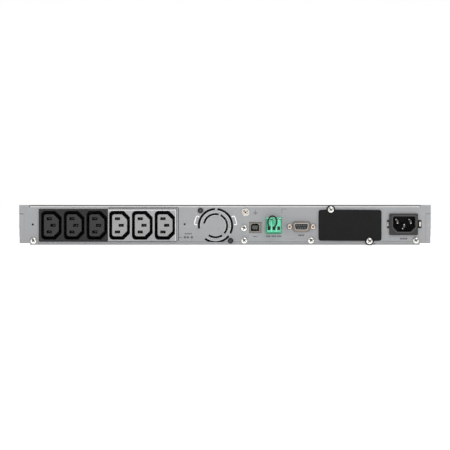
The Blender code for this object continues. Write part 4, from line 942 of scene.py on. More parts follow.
def make_case():
    """Panel, tray and cover, with the folds and the painted shadow and highlight lines that show round the
    socket panel.
    """
    hair = 0.00045
    cutters = []
    for z in (0.0017, 0.0040):
        cutters.append(cuboid("fold_line", (-0.2070, PANEL_Y - 0.001, z),
                              (0.2070, PANEL_Y + 0.0003, z + hair)))
    edge_x = low("slot_cover").x - 0.0029
    cutters.append(cuboid("slot_line", (edge_x, PANEL_Y - 0.001, 0.0062),
                          (edge_x + hair, PANEL_Y + 0.0003, 0.0372)))
    centre = (FAN.x, FAN.z)
    slots = []
    for radius, width, spans in GRILLE:
        for start, end in spans:
            slots.append(upright_plate("slot", [arc_band(centre, radius, width, start, end, 16)],
                                       PANEL_Y - 0.001, PANEL_Y + 0.0011))
    grille = joined("grille_slots", slots)
    trim = cuboid("trim", (-0.1, PANEL_Y - 0.01, -0.01), (0.1, PANEL_Y + 0.01, 0.0037))
    cutters.append(carve(grille, trim))
    rounded_node("rear_panel", PAINT, 0.0, cutters=cutters)
    rounded_node("base_tray", PAINT, 0.00009)
    cover_places = [(x, y) for x in (-0.195, -0.065, 0.065, 0.195) for y in (-0.236, 0.208)]
    cover_places += [(x, 0.0) for x in (-0.195, 0.195)]
    cones = []
    for x, y in cover_places:
        cone = turned("cone",
                      [(0.0, 0.0), (0.0034, 0.0), (0.0034, -0.0001), (0.0021, -0.00085), (0.0, -0.00085)],
                      28)
        cone.data.transform(Matrix.Translation((x, y, TOP_Z + 0.00001)))
        cones.append(cone)
    rounded_node("top_cover", COVER_PAINT, 0.0, cutters=[joined("cones", cones)])
    lids = flat_heads("cover_screws", [((x, y, TOP_Z - 0.0001), 0.0, 1.0) for x, y in cover_places],
                      Matrix.Identity(4), 0.0030)
    rides(lids, "case", "bright_metal")
    for side, way in (("left", -1), ("right", 1)):
        turn = Matrix.Rotation(way * math.pi / 2, 4, "Y") @ Matrix.Rotation(0.4, 4, "Z")
        leg_x = (high if way > 0 else low)("base_tray").x
        outer_x = leg_x + way * 0.0023
        holes = [((outer_x + way * 0.0001, y, z), 0.0, 1.0)
                 for y in (0.171, 0.224) for z in (0.0105, 0.0327)]
        holes.append(((outer_x + way * 0.0001, 0.197, 0.0216), 0.0, 1.0))
        rides(flat_heads("ear_screws_" + side, holes, turn), "case", "bright_metal")
        walls = [((leg_x + way * 0.0002, y, 0.0216), 0.0, 1.0) for y in (-0.235, -0.11, 0.02, 0.12)]
        rides(flat_heads("wall_screws_" + side, walls, turn, 0.0027), "case", "bright_metal")
    for side in ("left", "right"):
        rounded_node("rack_ear_" + side, EAR_PAINT, 0.0003)
    cover_x = high("top_cover").x - 0.0003
    # painted light and shade along the panel's edges: a dark strip for the shadow under the cover's rear
    # edge, a pale strip for the highlight on the panel's top bend, and one for the highlight along its
    # bottom
    cover_edge = strip("cover_edge", (-cover_x, cover_x), (TOP_Z - 0.00125, TOP_Z), 0.00005, SHADOW_PAINT)
    hem = strip("hem", (-cover_x, cover_x), (TOP_Z - 0.0022, TOP_Z - 0.0013), 0.00015, HIGHLIGHT_PAINT)
    lower = strip("lower", (-0.2068, 0.2068), (0.0002, 0.0012), 0.00008, HIGHLIGHT_PAINT)
    rides(joined("panel_edge_lines", [cover_edge, hem, lower]), "case", "painted_steel")
    outer = high("base_tray").x
    fold_low, fold_high = 0.0026, 0.0339
    # a paint-coloured filler over the left fold's gap, and a mid-grey band by the right fold that is
    # painted shade
    left = cuboid("left_fold", (-outer + 0.0048, PANEL_Y + 0.0001, fold_low),
                  (-outer + 0.0063, PANEL_Y + 0.0012, fold_high), PAINT)
    right = cuboid("right_fold", (outer - 0.0063, PANEL_Y + 0.0002, fold_low),
                   (outer - 0.0049, PANEL_Y + 0.0012, fold_high - 0.0002), HALF_SHADE_PAINT)
    rides(joined("side_folds", [left, right]), "case", "painted_steel")
    notches = [stroke((0.2067, 0.0424), (0.2082, 0.0413), 0.0009),
               stroke((-0.2067, 0.0424), (-0.2084, 0.0412), 0.0009)]
    printed("cover_corner_notches", notches, DARK_INK)


# ---------------------------------------------------------------- outlets
def socket_outline(size, corner, chamfer, centre=(0.0, 0.0)):
    """An outlet's shape: rounded on the left, chamfered on the right."""
    return outline_shape(*size, ((chamfer, 1), (corner, 5), (corner, 5), (chamfer, 1)), centre)


def make_outlets():
    pitch = (middle("outlet_core_2") - middle("outlet_core_1")).x
    step = (pitch, 0.0, 0.0)
    well = ((0.0221, 0.0307), 0.0042, 0.0067)
    nose = ((0.0158, 0.0233), 0.0024, 0.0056)
    slots = ((-0.0022, 0.00705), (-0.0022, -0.00705), (0.0018, 0.0))
    slot_size = (0.0055, 0.0030)
    groups = (("dark", 1, CHARCOAL, DARK_NOSE_AND_HIGHLIGHT), ("pale", 4, PALE, PALE_NOSE))
    for label, first, material, nose_material in groups:
        block = "outlet_block_" + label
        outside = face_outlines(block, low(block).y)[0]
        wells = [socket_outline(*well, (middle("outlet_core_%d" % index).x, middle(block).z))
                 for index in range(first, first + 3)]
        body = upright_plate(block + "_finished", [outside] + wells, low(block).y, high(block).y,
                             material, 0.00012)
        rides(body, "case", slot_of(block), block)
        cores = ["outlet_core_%d" % index for index in range(first, first + 3)]
        base_low, base_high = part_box(cores[0])
        centre = middle(cores[0])
        front_y, back_y = base_low.y, base_high.y
        openings = [outline_shape(*slot_size, SQUARE, place) for place in slots]
        face = upright_plate("face", [socket_outline(*nose)] + openings, front_y, front_y + 0.010, None,
                             0.00025)
        trunk = upright_plate("trunk", [socket_outline(*nose)], front_y + 0.0098, back_y - 0.0028)
        base = upright_plate("base", [outline_shape(0.0228, 0.0321, SQUARE)], back_y - 0.003, back_y)
        noses = grow("noses_" + label, ROW, joined("nose", [face, trunk, base]), nose_material, count=3,
                     start=(centre.x, 0.0, centre.z), step=step)
        rides(noses, "case", slot_of(block), *cores)
        # the near-black linings, floors and slot pockets inside each well are painted shade
        rings = []
        for inset, y in ((0.00002, low(block).y + 0.0002), (0.00002, back_y - 0.0034),
                         (0.0002, back_y - 0.0034), (0.0002, low(block).y + 0.0002)):
            size = (well[0][0] - 2 * inset, well[0][1] - 2 * inset)
            rings.append(ring_at(socket_outline(size, well[1], well[2]), y))
        lining = loft("lining", rings, None, closed=True)
        well_floor = upright_plate("floor", [socket_outline((0.0219, 0.0305), well[1], well[2]),
                                             socket_outline((0.0162, 0.0238), nose[1], nose[2])],
                                   back_y - 0.0036, back_y - 0.0032)
        parts = [lining, well_floor]
        for place in slots:
            pocket = [outline_shape(slot_size[0] - 0.00005, slot_size[1] - 0.00005, SQUARE, place),
                      outline_shape(slot_size[0] - 0.0003, slot_size[1] - 0.0003, SQUARE, place)]
            parts.append(upright_plate("pocket", pocket, front_y + 0.0003, front_y + 0.0095))
        shade_linings = grow("linings_" + label, ROW, joined("lining", parts), WELL_SHADE, count=3,
                       start=(centre.x, 0.0, centre.z), step=step)
        leaf = cuboid("leaf", (-0.0021, -0.0010, -0.0009), (0.0021, 0.0010, 0.0009), None, 0.0003)
        places = [((centre.x + index * pitch + x, front_y + 0.0085, centre.z + z), 0.0, 1.0)
                  for index in range(3) for x, z in slots]
        contacts = grow("contacts_" + label, PLACES, leaf, TARNISH_SHADE_AND_SHEEN, ground=spots(places))
        rides(joined("outlet_interiors_" + label, [shade_linings, contacts]), "case", slot_of(block))
    # the dark group's web ribs and the pale group's raised rim along its top and right edges, both painted
    # lighter as highlights
    dark_low, dark_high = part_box("outlet_block_dark")
    rib = cuboid("rib", (-0.0003, -0.0002, -0.0125), (0.0003, 0.0002, 0.0125), None, 0.0001)
    ribs = grow("dark_group_ribs", ROW, rib, DARK_NOSE_AND_HIGHLIGHT, count=2,
                start=(middle("outlet_core_1").x + pitch / 2, dark_low.y, (dark_low.z + dark_high.z) / 2),
                step=step)
    rides(ribs, "case", "charcoal_plastic")
    pale_low, pale_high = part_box("outlet_block_pale")
    face_y = pale_low.y
    top = [(pale_low.x + 0.0003, pale_high.z - 0.0014), (pale_high.x - 0.0014, pale_high.z - 0.0014),
           (pale_high.x - 0.0014, pale_low.z + 0.0003), (pale_high.x - 0.0003, pale_low.z + 0.0003),
           (pale_high.x - 0.0003, pale_high.z - 0.0002), (pale_low.x + 0.0003, pale_high.z - 0.0002)]
    rim = upright_plate("pale_group_rim", [top], face_y - 0.0003, face_y + 0.0003, PALE_EDGE_HIGHLIGHT, 0.0002)
    rides(rim, "case", "pale_plastic")


# ---------------------------------------------------------------- fan
def blade_shape():
    """One swept blade: pitch falls towards the tip, with a little camber."""
    shape = bmesh.new()
    root, tip = 0.0086, 0.0176
    rows = []
    for radial in range(9):
        share = radial / 8
        radius = root + (tip - root) * share
        pitch = math.radians(44 - 16 * share)
        chord = 0.0098 + 0.0034 * share
        row = []
        for step in range(9):
            along = step / 8 - 0.5
            camber = 0.0011 * (1 - (2 * along) ** 2)
            tangent = along * chord * math.cos(pitch) + camber * math.sin(pitch) + 0.0022 * share
            axial = along * chord * math.sin(pitch) - camber * math.cos(pitch)
            angle = tangent / radius
            row.append(shape.verts.new((radius * math.cos(angle), radius * math.sin(angle), axial)))
        rows.append(row)
    for first, second in zip(rows, rows[1:]):
        for step in range(8):
            shape.faces.new((first[step], first[step + 1], second[step + 1], second[step]))
    blade = from_shape("blade", shape)
    solid = blade.modifiers.new("thickness", "SOLIDIFY")
    solid.thickness = 0.0009
    solid.offset = 0.0
    return settle(blade)


def make_fan():
    rounded_node("fan_frame", BLACK, 0.0003)
    half = (high("fan_rotor").y - low("fan_rotor").y) / 2
    seat = Matrix.Translation(FAN) @ FACING_REAR
    hub = turned("hub", [(0.0, half), (0.0070, half), (0.0082, half - 0.0004), (0.0089, half - 0.0014),
                         (0.0090, -half), (0.0078, -half), (0.0076, -half + 0.003), (0.0, -half + 0.003)],
                 48, BLACK)
    baked_turn(hub, seat)
    blades = grow("blades", RING, blade_shape(), BLACK, matrix=seat, count=7, radius=0.0)
    label = turned("label", [(0.0, half + 0.00008), (0.0055, half + 0.00008), (0.0055, half - 0.0001),
                             (0.0, half - 0.0001)], 36, GREY_INK)
    baked_turn(label, seat)
    rides(joined("fan_impeller", [hub, blades, label]), "fan_rotor", "black_plastic", "fan_rotor")


# ---------------------------------------------------------------- data sockets
def make_usb():
    rounded_node("usb_shell", SHELL_PLATE, 0.00025)
    rounded_node("usb_tongue", TONGUE, 0.0003)
    leaf = cuboid("leaf", (-0.0005, -0.0030, -0.00018), (0.0005, 0.0030, 0.00018), None, 0.0001)
    centre = middle("usb_tongue")
    half_z = (high("usb_tongue").z - low("usb_tongue").z) / 2
    front_y = low("usb_tongue").y + 0.0036
    places = [((centre.x + x, front_y, centre.z + z), 0.0, 1.0)
              for x in (-0.00125, 0.00125) for z in (-half_z, half_z)]
    leaves = grow("usb_contacts", PLACES, leaf, GOLD, ground=spots(places))
    rides(leaves, "case", "bright_metal")


def d_outline(width, height, inset=0.0, steps=6, lean=0.176):
    """The serial socket's D: wide side up, sides leaning in, corners round."""
    wide, tall = width - 2 * inset, height - 2 * inset
    radius = max(tall * 0.26, 0.0004)
    points = outline_shape(wide, tall, ((radius, steps),) * 4, (SERIAL.x, SERIAL.z))
    top_z = SERIAL.z + tall / 2
    return [(x - (top_z - z) * lean * (1 if x > SERIAL.x else -1), z) for x, z in points]


def make_serial():
    ring_low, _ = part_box("serial_shell")
    back_y = PANEL_Y - 0.0003
    flange_y = back_y - 0.0008
    tip_y = ring_low.y
    tube = (0.0158, 0.0075)
    bore = (0.0145, 0.0062)
    flange = (0.0190, 0.0111)
    lean = 0.07
    rings = [ring_at(d_outline(*bore), back_y), ring_at(d_outline(*bore), tip_y + 0.0003),
             ring_at(d_outline(*bore, -0.0001), tip_y), ring_at(d_outline(*tube, 0.0001), tip_y),
             ring_at(d_outline(*tube), tip_y + 0.0003), ring_at(d_outline(*tube), back_y)]
    shell = loft("shell", rings, RING_PLATE, closed=True)
    seat = upright_plate("seat", [d_outline(*flange, 0.0, 6, lean), d_outline(*tube)], flange_y, back_y,
                         SHELL_PLATE, 0.0002)
    shadow = upright_plate("shadow", [d_outline(flange[0] + 0.0007, flange[1] + 0.0006, 0.0, 6, lean),
                                      d_outline(*flange, 0.0001, 6, lean)],
                           PANEL_Y - 0.00008, PANEL_Y + 0.0003, TARNISH_SHADE_AND_SHEEN)
    rides(joined("serial_shell_finished", [shell, seat, shadow]), "case", "bright_metal", "serial_shell")

    insert_low, insert_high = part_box("serial_insert")
    size = (0.0140, 0.0057)
    holes, rims = [], []
    for count, z in ((5, 0.00142), (4, -0.00142)):
        for index in range(count):
            x = (index - (count - 1) / 2) * 0.00250
            holes.append(circle_shape((SERIAL.x + x, SERIAL.z + z), 0.00055, 14))
            rims.append(((SERIAL.x + x, insert_low.y, SERIAL.z + z), 0.0, 1.0))
    face = upright_plate("face", [d_outline(*size)] + holes, insert_low.y, insert_low.y + 0.004, BLACK,
                         0.0001)
    rear = upright_plate("rear", [d_outline(*size, 0.0001)], insert_low.y + 0.0039, insert_high.y, BLACK)
    rim = turned("rim",
                 [(0.00056, 0.0), (0.00056, 0.00012), (0.00082, 0.00012), (0.00082, -0.0001),
                  (0.00056, 0.0)],
                 18)
    mouths = grow("mouths", PLACES, baked_turn(rim, FACING_REAR), GREY_INK, ground=spots(rims))
    rides(joined("serial_insert_finished", [face, rear, mouths]), "case", "black_plastic",
          "serial_insert")
    for side in ("left", "right"):
        node = "jack_post_" + side
        post_low, post_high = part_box(node)
        centre = middle(node)
        radius = (post_high.x - post_low.x) / 2
        spot = (centre.x, centre.z)
        post = upright_plate("post",
                             [circle_shape(spot, radius * 0.98, 6), circle_shape(spot, 0.0011, 20)],
                             post_low.y, PANEL_Y, RING_PLATE, 0.0005)
        # a dark copper plug in the post's threaded hole is painted shade
        throat = upright_plate("throat", [circle_shape(spot, 0.00112, 20)], post_low.y + 0.0012, PANEL_Y,
                               COPPER_DARK)
        shank = upright_plate("shank", [circle_shape(spot, radius * 0.55, 20)], PANEL_Y - 0.0001,
                              post_high.y,
                              TARNISH_SHADE_AND_SHEEN)
        washer = upright_plate("washer",
                               [circle_shape(spot, radius * 1.12, 28), circle_shape(spot, 0.0012, 28)],
                               PANEL_Y - 0.0004, PANEL_Y, TARNISH_SHADE_AND_SHEEN, 0.0001)
        rides(joined(node + "_finished", [post, throat, shank, washer]), "case", "bright_metal", node)


# ---------------------------------------------------------------- terminal block
def smooth_route(points, steps):
    """Points at even steps along a Catmull-Rom curve through a route."""
    padded = [points[0]] + list(points) + [points[-1]]
    route = []
    for step in range(steps + 1):
        place = step / steps * (len(points) - 1)
        index = min(int(place), len(points) - 2)
        t = place - index
        a, b, c, d = padded[index:index + 4]
        route.append(tuple(
            0.5 * (2 * q + (r - p) * t + (2 * p - 5 * q + 4 * r - s) * t * t
                   + (3 * q - p - 3 * r + s) * t ** 3)
            for p, q, r, s in zip(a, b, c, d)))
    return route


def tube(name, points, radius, material):
    """A round lead along a route."""
    curve = bpy.data.curves.new(name, "CURVE")
    curve.dimensions = "3D"
    curve.bevel_depth = radius
    curve.bevel_resolution = 5
    curve.use_fill_caps = True
    spline = curve.splines.new("POLY")
    spline.points.add(len(points) - 1)
    for point, place in zip(spline.points, points):
        point.co = (*place, 1.0)
    obj = link(name, curve)
    obj = welded(settle(obj))
    shade(obj.data, 50.0)
    return paint(obj, material)


def make_terminal():
    """Header, plug with its three ways, clamp screws and the link wire between two of them."""
    head_low, head_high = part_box("terminal_header")
    pitch = 0.00508
    centre_x = (PLUG_LOW.x + PLUG_HIGH.x) / 2
    face_y = PLUG_LOW.y
    ways = [centre_x + way * pitch for way in (-1, 0, 1)]

    rounded_node("terminal_header", GREEN, 0.0002)
    front = head_low.y
    # the header's pale top band is a painted highlight; the dark green line below it and the lip along its
    # bottom are painted shade
    band = cuboid("band", (head_low.x + 0.0004, front - 0.0002, PLUG_HIGH.z + 0.0009),
                  (head_high.x - 0.0004, front + 0.0006, head_high.z - 0.0002), GREEN_HIGHLIGHT_MOULD,
                  0.00015)
    line = cuboid("line", (head_low.x + 0.0006, front - 0.0001, PLUG_HIGH.z + 0.0004),
                  (head_high.x - 0.0006, front + 0.0006, PLUG_HIGH.z + 0.0009), GREEN_SHADE, 0.0)
    lip = cuboid("lip", (head_low.x + 0.0004, front - 0.0001, head_low.z),
                 (head_high.x - 0.0004, front + 0.0006,
                 head_low.z + 0.0006), GREEN_SHADE, 0.0)
    rides(joined("terminal_header_bands", [band, line, lip]), "case", "green_plastic")

    wide, tall = PLUG_HIGH.x - PLUG_LOW.x, PLUG_HIGH.z - PLUG_LOW.z
    mid_z = (PLUG_LOW.z + PLUG_HIGH.z) / 2
    mouth_z = 0.0187
    mouths = [outline_shape(0.0029, 0.0042, SQUARE, (x, mouth_z)) for x in ways]
    corner = ((0.0004, 2),) * 4
    face = upright_plate("face", [outline_shape(wide, tall, corner, (centre_x, mid_z))] + mouths,
                         face_y, face_y + 0.006, GREEN, 0.0003)
    rear = upright_plate("rear", [outline_shape(wide - 0.0002, tall - 0.0002, corner, (centre_x, mid_z))],
                         face_y + 0.0059, PLUG_HIGH.y, GREEN)
    parts = [face, rear]
    # a darker green patch on the face behind the link wire is painted shade, and so is the bar along the
    # plug's bottom
    recess = [outline_shape(0.0034, 0.0052, ((0.0012, 4),) * 4,
                            ((ways[0] + ways[1]) / 2 + 0.0008, 0.0249))]
    parts.append(upright_plate("recess", recess, face_y - 0.00005, face_y + 0.0002, GREEN_SHADE))
    shade_bar = [(PLUG_LOW.x + 0.0004, PLUG_LOW.z + 0.0001), (PLUG_HIGH.x - 0.0004, PLUG_LOW.z + 0.0001),
                 (PLUG_HIGH.x - 0.0004, PLUG_LOW.z + 0.0008), (PLUG_LOW.x + 0.0004, PLUG_LOW.z + 0.0008)]
    parts.append(upright_plate("shade_bar", [shade_bar], face_y - 0.00005, face_y + 0.0002, GREEN_SHADE))
    # the lighter ribs between the ways are painted highlights
    rib = cuboid("rib", (-0.0004, -0.0004, -0.0058), (0.0004, 0.0003, 0.0058), None, 0.00015)
    parts.append(grow("ribs", ROW, rib, GREEN_HIGHLIGHT_MOULD, count=2,
                      start=(centre_x - pitch / 2, face_y, mid_z), step=(pitch, 0.0, 0.0)))
    # dark green lintels in the tops of the mouths and the near-black cages behind them are painted shade
    lintel = cuboid("lintel", (-0.00145, 0.0002, 0.0012), (0.00145, 0.0012, 0.0021))
    cage = cuboid("cage", (-0.00140, 0.0022, -0.0020), (0.00140, 0.0052, 0.0020), None, 0.0002)
    clamp = cuboid("clamp", (-0.0011, 0.0016, -0.0017), (-0.0002, 0.0023, -0.0002), None, 0.0001)
    row = {"count": 3, "start": (ways[0], face_y, mouth_z), "step": (pitch, 0.0, 0.0)}
    parts.append(grow("lintels", ROW, lintel, GREEN_SHADE, **row))
    parts.append(grow("cages", ROW, cage, WELL_SHADE, **row))
    parts.append(grow("clamps", ROW, clamp, COPPER_DARK, **row))
    screw = turned("clamp_screw",
                   [(0.0, 0.0), (0.0011, 0.0), (0.0013, -0.0002), (0.0013, -0.0008), (0.0, -0.0008)], 20)
    slot = cuboid("slot", (-0.0016, -0.0002, -0.0003), (0.0016, 0.0002, 0.001))
    screw = carve(screw, slot)
    parts.append(grow("clamp_screws", ROW, screw, NICKEL, count=3,
                      start=(ways[0], face_y + 0.0030, PLUG_HIGH.z + 0.0002), step=(pitch, 0.0, 0.0)))
    rides(joined("terminal_plug_finished", parts), "terminal_plug", "green_plastic", "terminal_plug")

    leg_z = mouth_z - 0.0006
    route = [(ways[0] + 0.0004, face_y + 0.0022, leg_z),
             (ways[0] + 0.0002, face_y - 0.0008, leg_z + 0.0006),
             (ways[0] - 0.0009, face_y - 0.0024, leg_z + 0.0040),
             (ways[0] - 0.0012, face_y - 0.0034, leg_z + 0.0078),
             (ways[0] + 0.0006, face_y - 0.0034, leg_z + 0.0118),
             ((ways[0] + ways[1]) / 2 + 0.0007, face_y - 0.0030, leg_z + 0.0133),
             (ways[1] + 0.0019, face_y - 0.0034, leg_z + 0.0116),
             (ways[1] + 0.0030, face_y - 0.0034, leg_z + 0.0074),
             (ways[1] + 0.0021, face_y - 0.0024, leg_z + 0.0036),
             (ways[1] + 0.0002, face_y - 0.0008, leg_z + 0.0004),
             (ways[1] + 0.0001, face_y + 0.0022, leg_z)]
    loop = tube("link_wire_loop", smooth_route(route, 96), 0.00082, SLEEVE)
    ferrule = turned("ferrule", [(0.0, 0.0012), (0.0009, 0.0012), (0.00115, 0.0009), (0.00115, -0.0022),
                                 (0.0, -0.0022)], 20)
    baked_turn(ferrule, Matrix.Rotation(math.radians(75), 4, "X"))
    ferrules = grow("ferrules", ROW, ferrule, SLEEVE, count=2,
                    start=(ways[0] + 0.0002, face_y + 0.0004, leg_z),
                    step=(pitch, 0.0, 0.0))
    rides(joined("link_wire_finished", [loop, ferrules]), "terminal_plug", "wire_sleeve", "link_wire")


# ---------------------------------------------------------------- slot and inlet
def make_slot_and_inlet():
    cover = "slot_cover"
    face = face_outlines(cover, low(cover).y)
    plate = upright_plate("slot_cover_finished", face, low(cover).y, high(cover).y, WRINKLE, 0.0003)
    rides(plate, "case", slot_of(cover), cover)

    rounded_node("ac_inlet", INLET_MOULD, 0.0003)
    flange_low, flange_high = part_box("ac_inlet")
    cavity = (0.1905, 0.0229)
    face_y = flange_low.y
    cut = ((0.0009, 3), (0.0009, 3), (0.0048, 1), (0.0048, 1))
    wide_cut = ((0.0012, 3), (0.0012, 3), (0.0052, 1), (0.0052, 1))
    frame_ring = upright_plate("frame_ring", [outline_shape(0.0262, 0.0188, wide_cut, cavity),
                                              outline_shape(0.0240, 0.0166, cut, cavity)],
                               face_y - 0.0004, face_y + 0.0003, INLET_EDGE, 0.00025)
    # the cavity's near-black lining and back are painted shade
    rings = [ring_at(outline_shape(0.0238 - 2 * inset, 0.0164 - 2 * inset, cut, cavity), y)
             for inset,
             y in ((0.00002, face_y + 0.0006), (0.00002, face_y + 0.0150), (0.0003, face_y + 0.0150),
                              (0.0003, face_y + 0.0006))]
    lining = loft("lining", rings, WELL_SHADE, closed=True)
    back = upright_plate("back", [outline_shape(0.0236, 0.0162, cut, cavity)], face_y + 0.0146,
                         face_y + 0.0152,
                         WELL_SHADE)
    rides(joined("inlet_interior", [frame_ring, lining, back]), "case", "inlet_plastic")

    # small bright nickel tips at the pins' ends are painted glints
    tip = turned("tip",
                 [(0.0, 0.0006), (0.0005, 0.0005), (0.0008, 0.0), (0.0005, -0.0004), (0.0, -0.0005)], 16)
    glint_places = []
    for pin, lower in (("line", False), ("neutral", False), ("earth", True)):
        node = "inlet_pin_" + pin
        # the pins take the dark plate as painted shade inside the cavity
        rounded_node(node, TARNISH_SHADE_AND_SHEEN, 0.0004, 3)
        centre, pin_low, pin_high = middle(node), low(node), high(node)
        way = -1 if lower else 1
        near_z = pin_low.z if not lower else pin_high.z
        far_z = pin_high.z + 0.0006 if not lower else pin_low.z - 0.0010
        glint_places.append(((centre.x + 0.0002, pin_low.y - 0.0001, near_z + 0.0008 * way), 0.0, 1.05))
        glint_places.append(((centre.x - 0.0013, pin_low.y + 0.0030, far_z), 0.0, 1.0))
    glints = grow("inlet_pin_tips", PLACES, baked_turn(tip, FACING_REAR), NICKEL, ground=spots(glint_places))
    rides(glints, "case", "bright_metal")
    for side in ("left", "right"):
        node = "inlet_clip_" + side
        rounded_node(node, RING_PLATE, 0.0001)
        clip_low, clip_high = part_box(node)
        inner_x = flange_low.x - 0.0001 if side == "left" else flange_high.x + 0.0001
        outer_x = clip_low.x - 0.0004 if side == "left" else clip_high.x + 0.0004
        # dark strokes over the clip's notches, and one along the inlet's side, are painted shade and a
        # painted shadow cast by the inlet
        darks = []
        for z in (clip_low.z + 0.0009, clip_high.z - 0.0009):
            darks.append(stroke((inner_x, z), (outer_x, z), 0.0017))
        edge = inner_x - 0.0004 if side == "left" else inner_x + 0.0007
        darks.append(stroke((edge, clip_low.z + 0.001), (edge, clip_high.z - 0.001),
                            0.0008 if side == "left" else 0.0015))
        printed("clip_notches_" + side, darks, WELL_SHADE, face_y=PANEL_Y, thick=0.00006)


# ---------------------------------------------------------------- printed marks, painted highlights and painted shade
def stroke(start, end, width):
    """A bar between two points, as an outline."""
    along = (Vector(end) - Vector(start)).normalized()
    across = Vector((-along.y, along.x)) * width / 2
    corners = [Vector(start) - across, Vector(end) - across, Vector(end) + across, Vector(start) + across]
    return [tuple(corner) for corner in corners]


def arc_band(centre, radius, width, start_deg, end_deg, steps=10):
    points = []
    for edge, order in ((radius + width / 2, 1), (radius - width / 2, -1)):
        run = [math.radians(start_deg + (end_deg - start_deg) * step / steps) for step in range(steps + 1)]
        for angle in run[::order]:
            points.append((centre[0] + edge * math.cos(angle), centre[1] + edge * math.sin(angle)))
    return points


def printed(name, outlines, material, face_y=None, thick=0.00004, slot="black_plastic"):
    """Ink, painted highlights and painted shade, laid on a face as thin plates: each outline is a plate of
    its own.
    """
    face_y = PANEL_Y if face_y is None else face_y
    outward = -1 if face_y < 0 else 1
    near, far = sorted((face_y + outward * thick, face_y - outward * 2 * thick))
    plates = [upright_plate("ink", [outline], near, far, material) for outline in outlines]
    return rides(joined(name, plates), "case", slot)


def dashes(centre_x, z, widths, height=0.0013, gap=0.0004):
    """A line of plain bars where small print would be."""
    total = sum(widths) + gap * (len(widths) - 1)
    x = centre_x - total / 2
    bars = []
    for width in widths:
        bars.append(outline_shape(width, height, SQUARE, (x + width / 2, z)))
        x += width + gap
    return bars


def make_prints():
    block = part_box("outlet_block_pale")
    line = 0.0009
    top_z, right_x = block[1].z + 0.0016, block[1].x + 0.0022
    dark = [stroke((block[0].x + 0.0002, top_z), (right_x + line / 2, top_z), line),
            stroke((right_x, top_z - line / 2), (right_x, 0.0050), line),
            stroke((right_x + line / 2, 0.0088), (right_x + 0.0038, 0.0088), 0.0006)]
    for x in (-0.0426, -0.0395, -0.0353):
        dark.append(circle_shape((x, 0.0088), 0.0013, 16))
    dark += dashes(-0.0390, 0.0126, (0.0012, 0.0011, 0.0013, 0.0012, 0.0011))
    earth = Vector((0.0324, 0.0349))
    dark.append(stroke((earth.x, earth.y), (earth.x, earth.y + 0.0027), 0.0005))
    for index, half in enumerate((0.0024, 0.0015, 0.0006)):
        z = earth.y - index * 0.0009
        dark.append(stroke((earth.x - half, z), (earth.x + half, z), 0.0005))
    dark += dashes(0.0321, 0.0096, (0.0009, 0.0022, 0.0009), 0.0010)
    for x in (0.0460, 0.0519, 0.0578):
        dark += dashes(x, 0.0099, (0.0012, 0.0011, 0.0012), 0.0017)
    dark += dashes(0.0811, 0.0109, (0.0013, 0.0014, 0.0009, 0.0014), 0.0018)
    dark += dashes(0.1900, 0.0074, (0.0008, 0.0014, 0.0013, 0.0013, 0.0012), 0.0018)
    dark.append(stroke((0.1580, 0.0026), (0.1600, 0.0021), 0.0005))
    dark.append(stroke((0.1580, 0.0013), (0.1600, 0.0018), 0.0005))
    printed("printed_marks_dark", dark, DARK_INK)
    grey = [stroke((0.0600, 0.0388), (0.0657, 0.0388), 0.0008),
            stroke((0.0604, 0.0384), (0.0604, 0.0343), 0.0008)]
    printed("printed_marks_grey", grey, GREY_INK)
    centre = (FAN.x, FAN.z)
    white = []
    for start, end in ((3.0, 28.0), (152.0, 177.0)):
        white.append(arc_band(centre, 0.0224, 0.0009, start, end))
        for angle in (start, end):
            turn = math.radians(angle)
            inner = (centre[0] + 0.0196 * math.cos(turn), centre[1] + 0.0196 * math.sin(turn))
            outer = (centre[0] + 0.0222 * math.cos(turn), centre[1] + 0.0222 * math.sin(turn))
            white.append(stroke(inner, outer, 0.0009))
    printed("printed_marks_white", white, WHITE_INK, slot="pale_plastic")
    # pale arcs beside the grille slots: painted highlights on their cut edges
    cut_edge_highlights = []
    for radius, spans in ((0.0160, ((94, 188), (-25, 81), (-126, -40))),
                          (0.0110, ((77, 167), (-39, 62), (-123, -58))),
                          (0.0141, ((80, 165), (-36, 60), (-120, -60)))):
        for start, end in spans:
            cut_edge_highlights.append(arc_band(centre, radius, 0.0005, start, end, 14))
    printed("grille_cut_edges", cut_edge_highlights, SOFT_HIGHLIGHT, thick=0.00008, slot="painted_steel")
    numerals("outlet_numerals", (("1", -0.0412), ("2", -0.0353)), 0.0046, 0.0020)


def numerals(name, marks, z, size):
    """Small figures beside the group dots."""
    pieces = []
    for text, x in marks:
        curve = bpy.data.curves.new("figure", "FONT")
        curve.body = text
        curve.size = size
        curve.extrude = 0.00005
        curve.align_x = "CENTER"
        obj = link("figure", curve)
        obj.rotation_euler = (math.pi / 2, 0.0, 0.0)
        obj.location = (x, PANEL_Y, z)
        pieces.append(paint(settle(obj), DARK_INK))
    rides(joined(name, pieces), "case", "black_plastic")


# ---------------------------------------------------------------- front
def bars(places, width, height):
    """Upright rectangles about (x, z) places."""
    return [outline_shape(width, height, SQUARE, place) for place in places]


def arrow(centre, size, up):
    """A solid triangle pointing up or down."""
    x, z = centre
    tip = size if up else -size
    return [(x - size, z - tip * 0.55), (x + size, z - tip * 0.55), (x, z + tip * 0.75)]


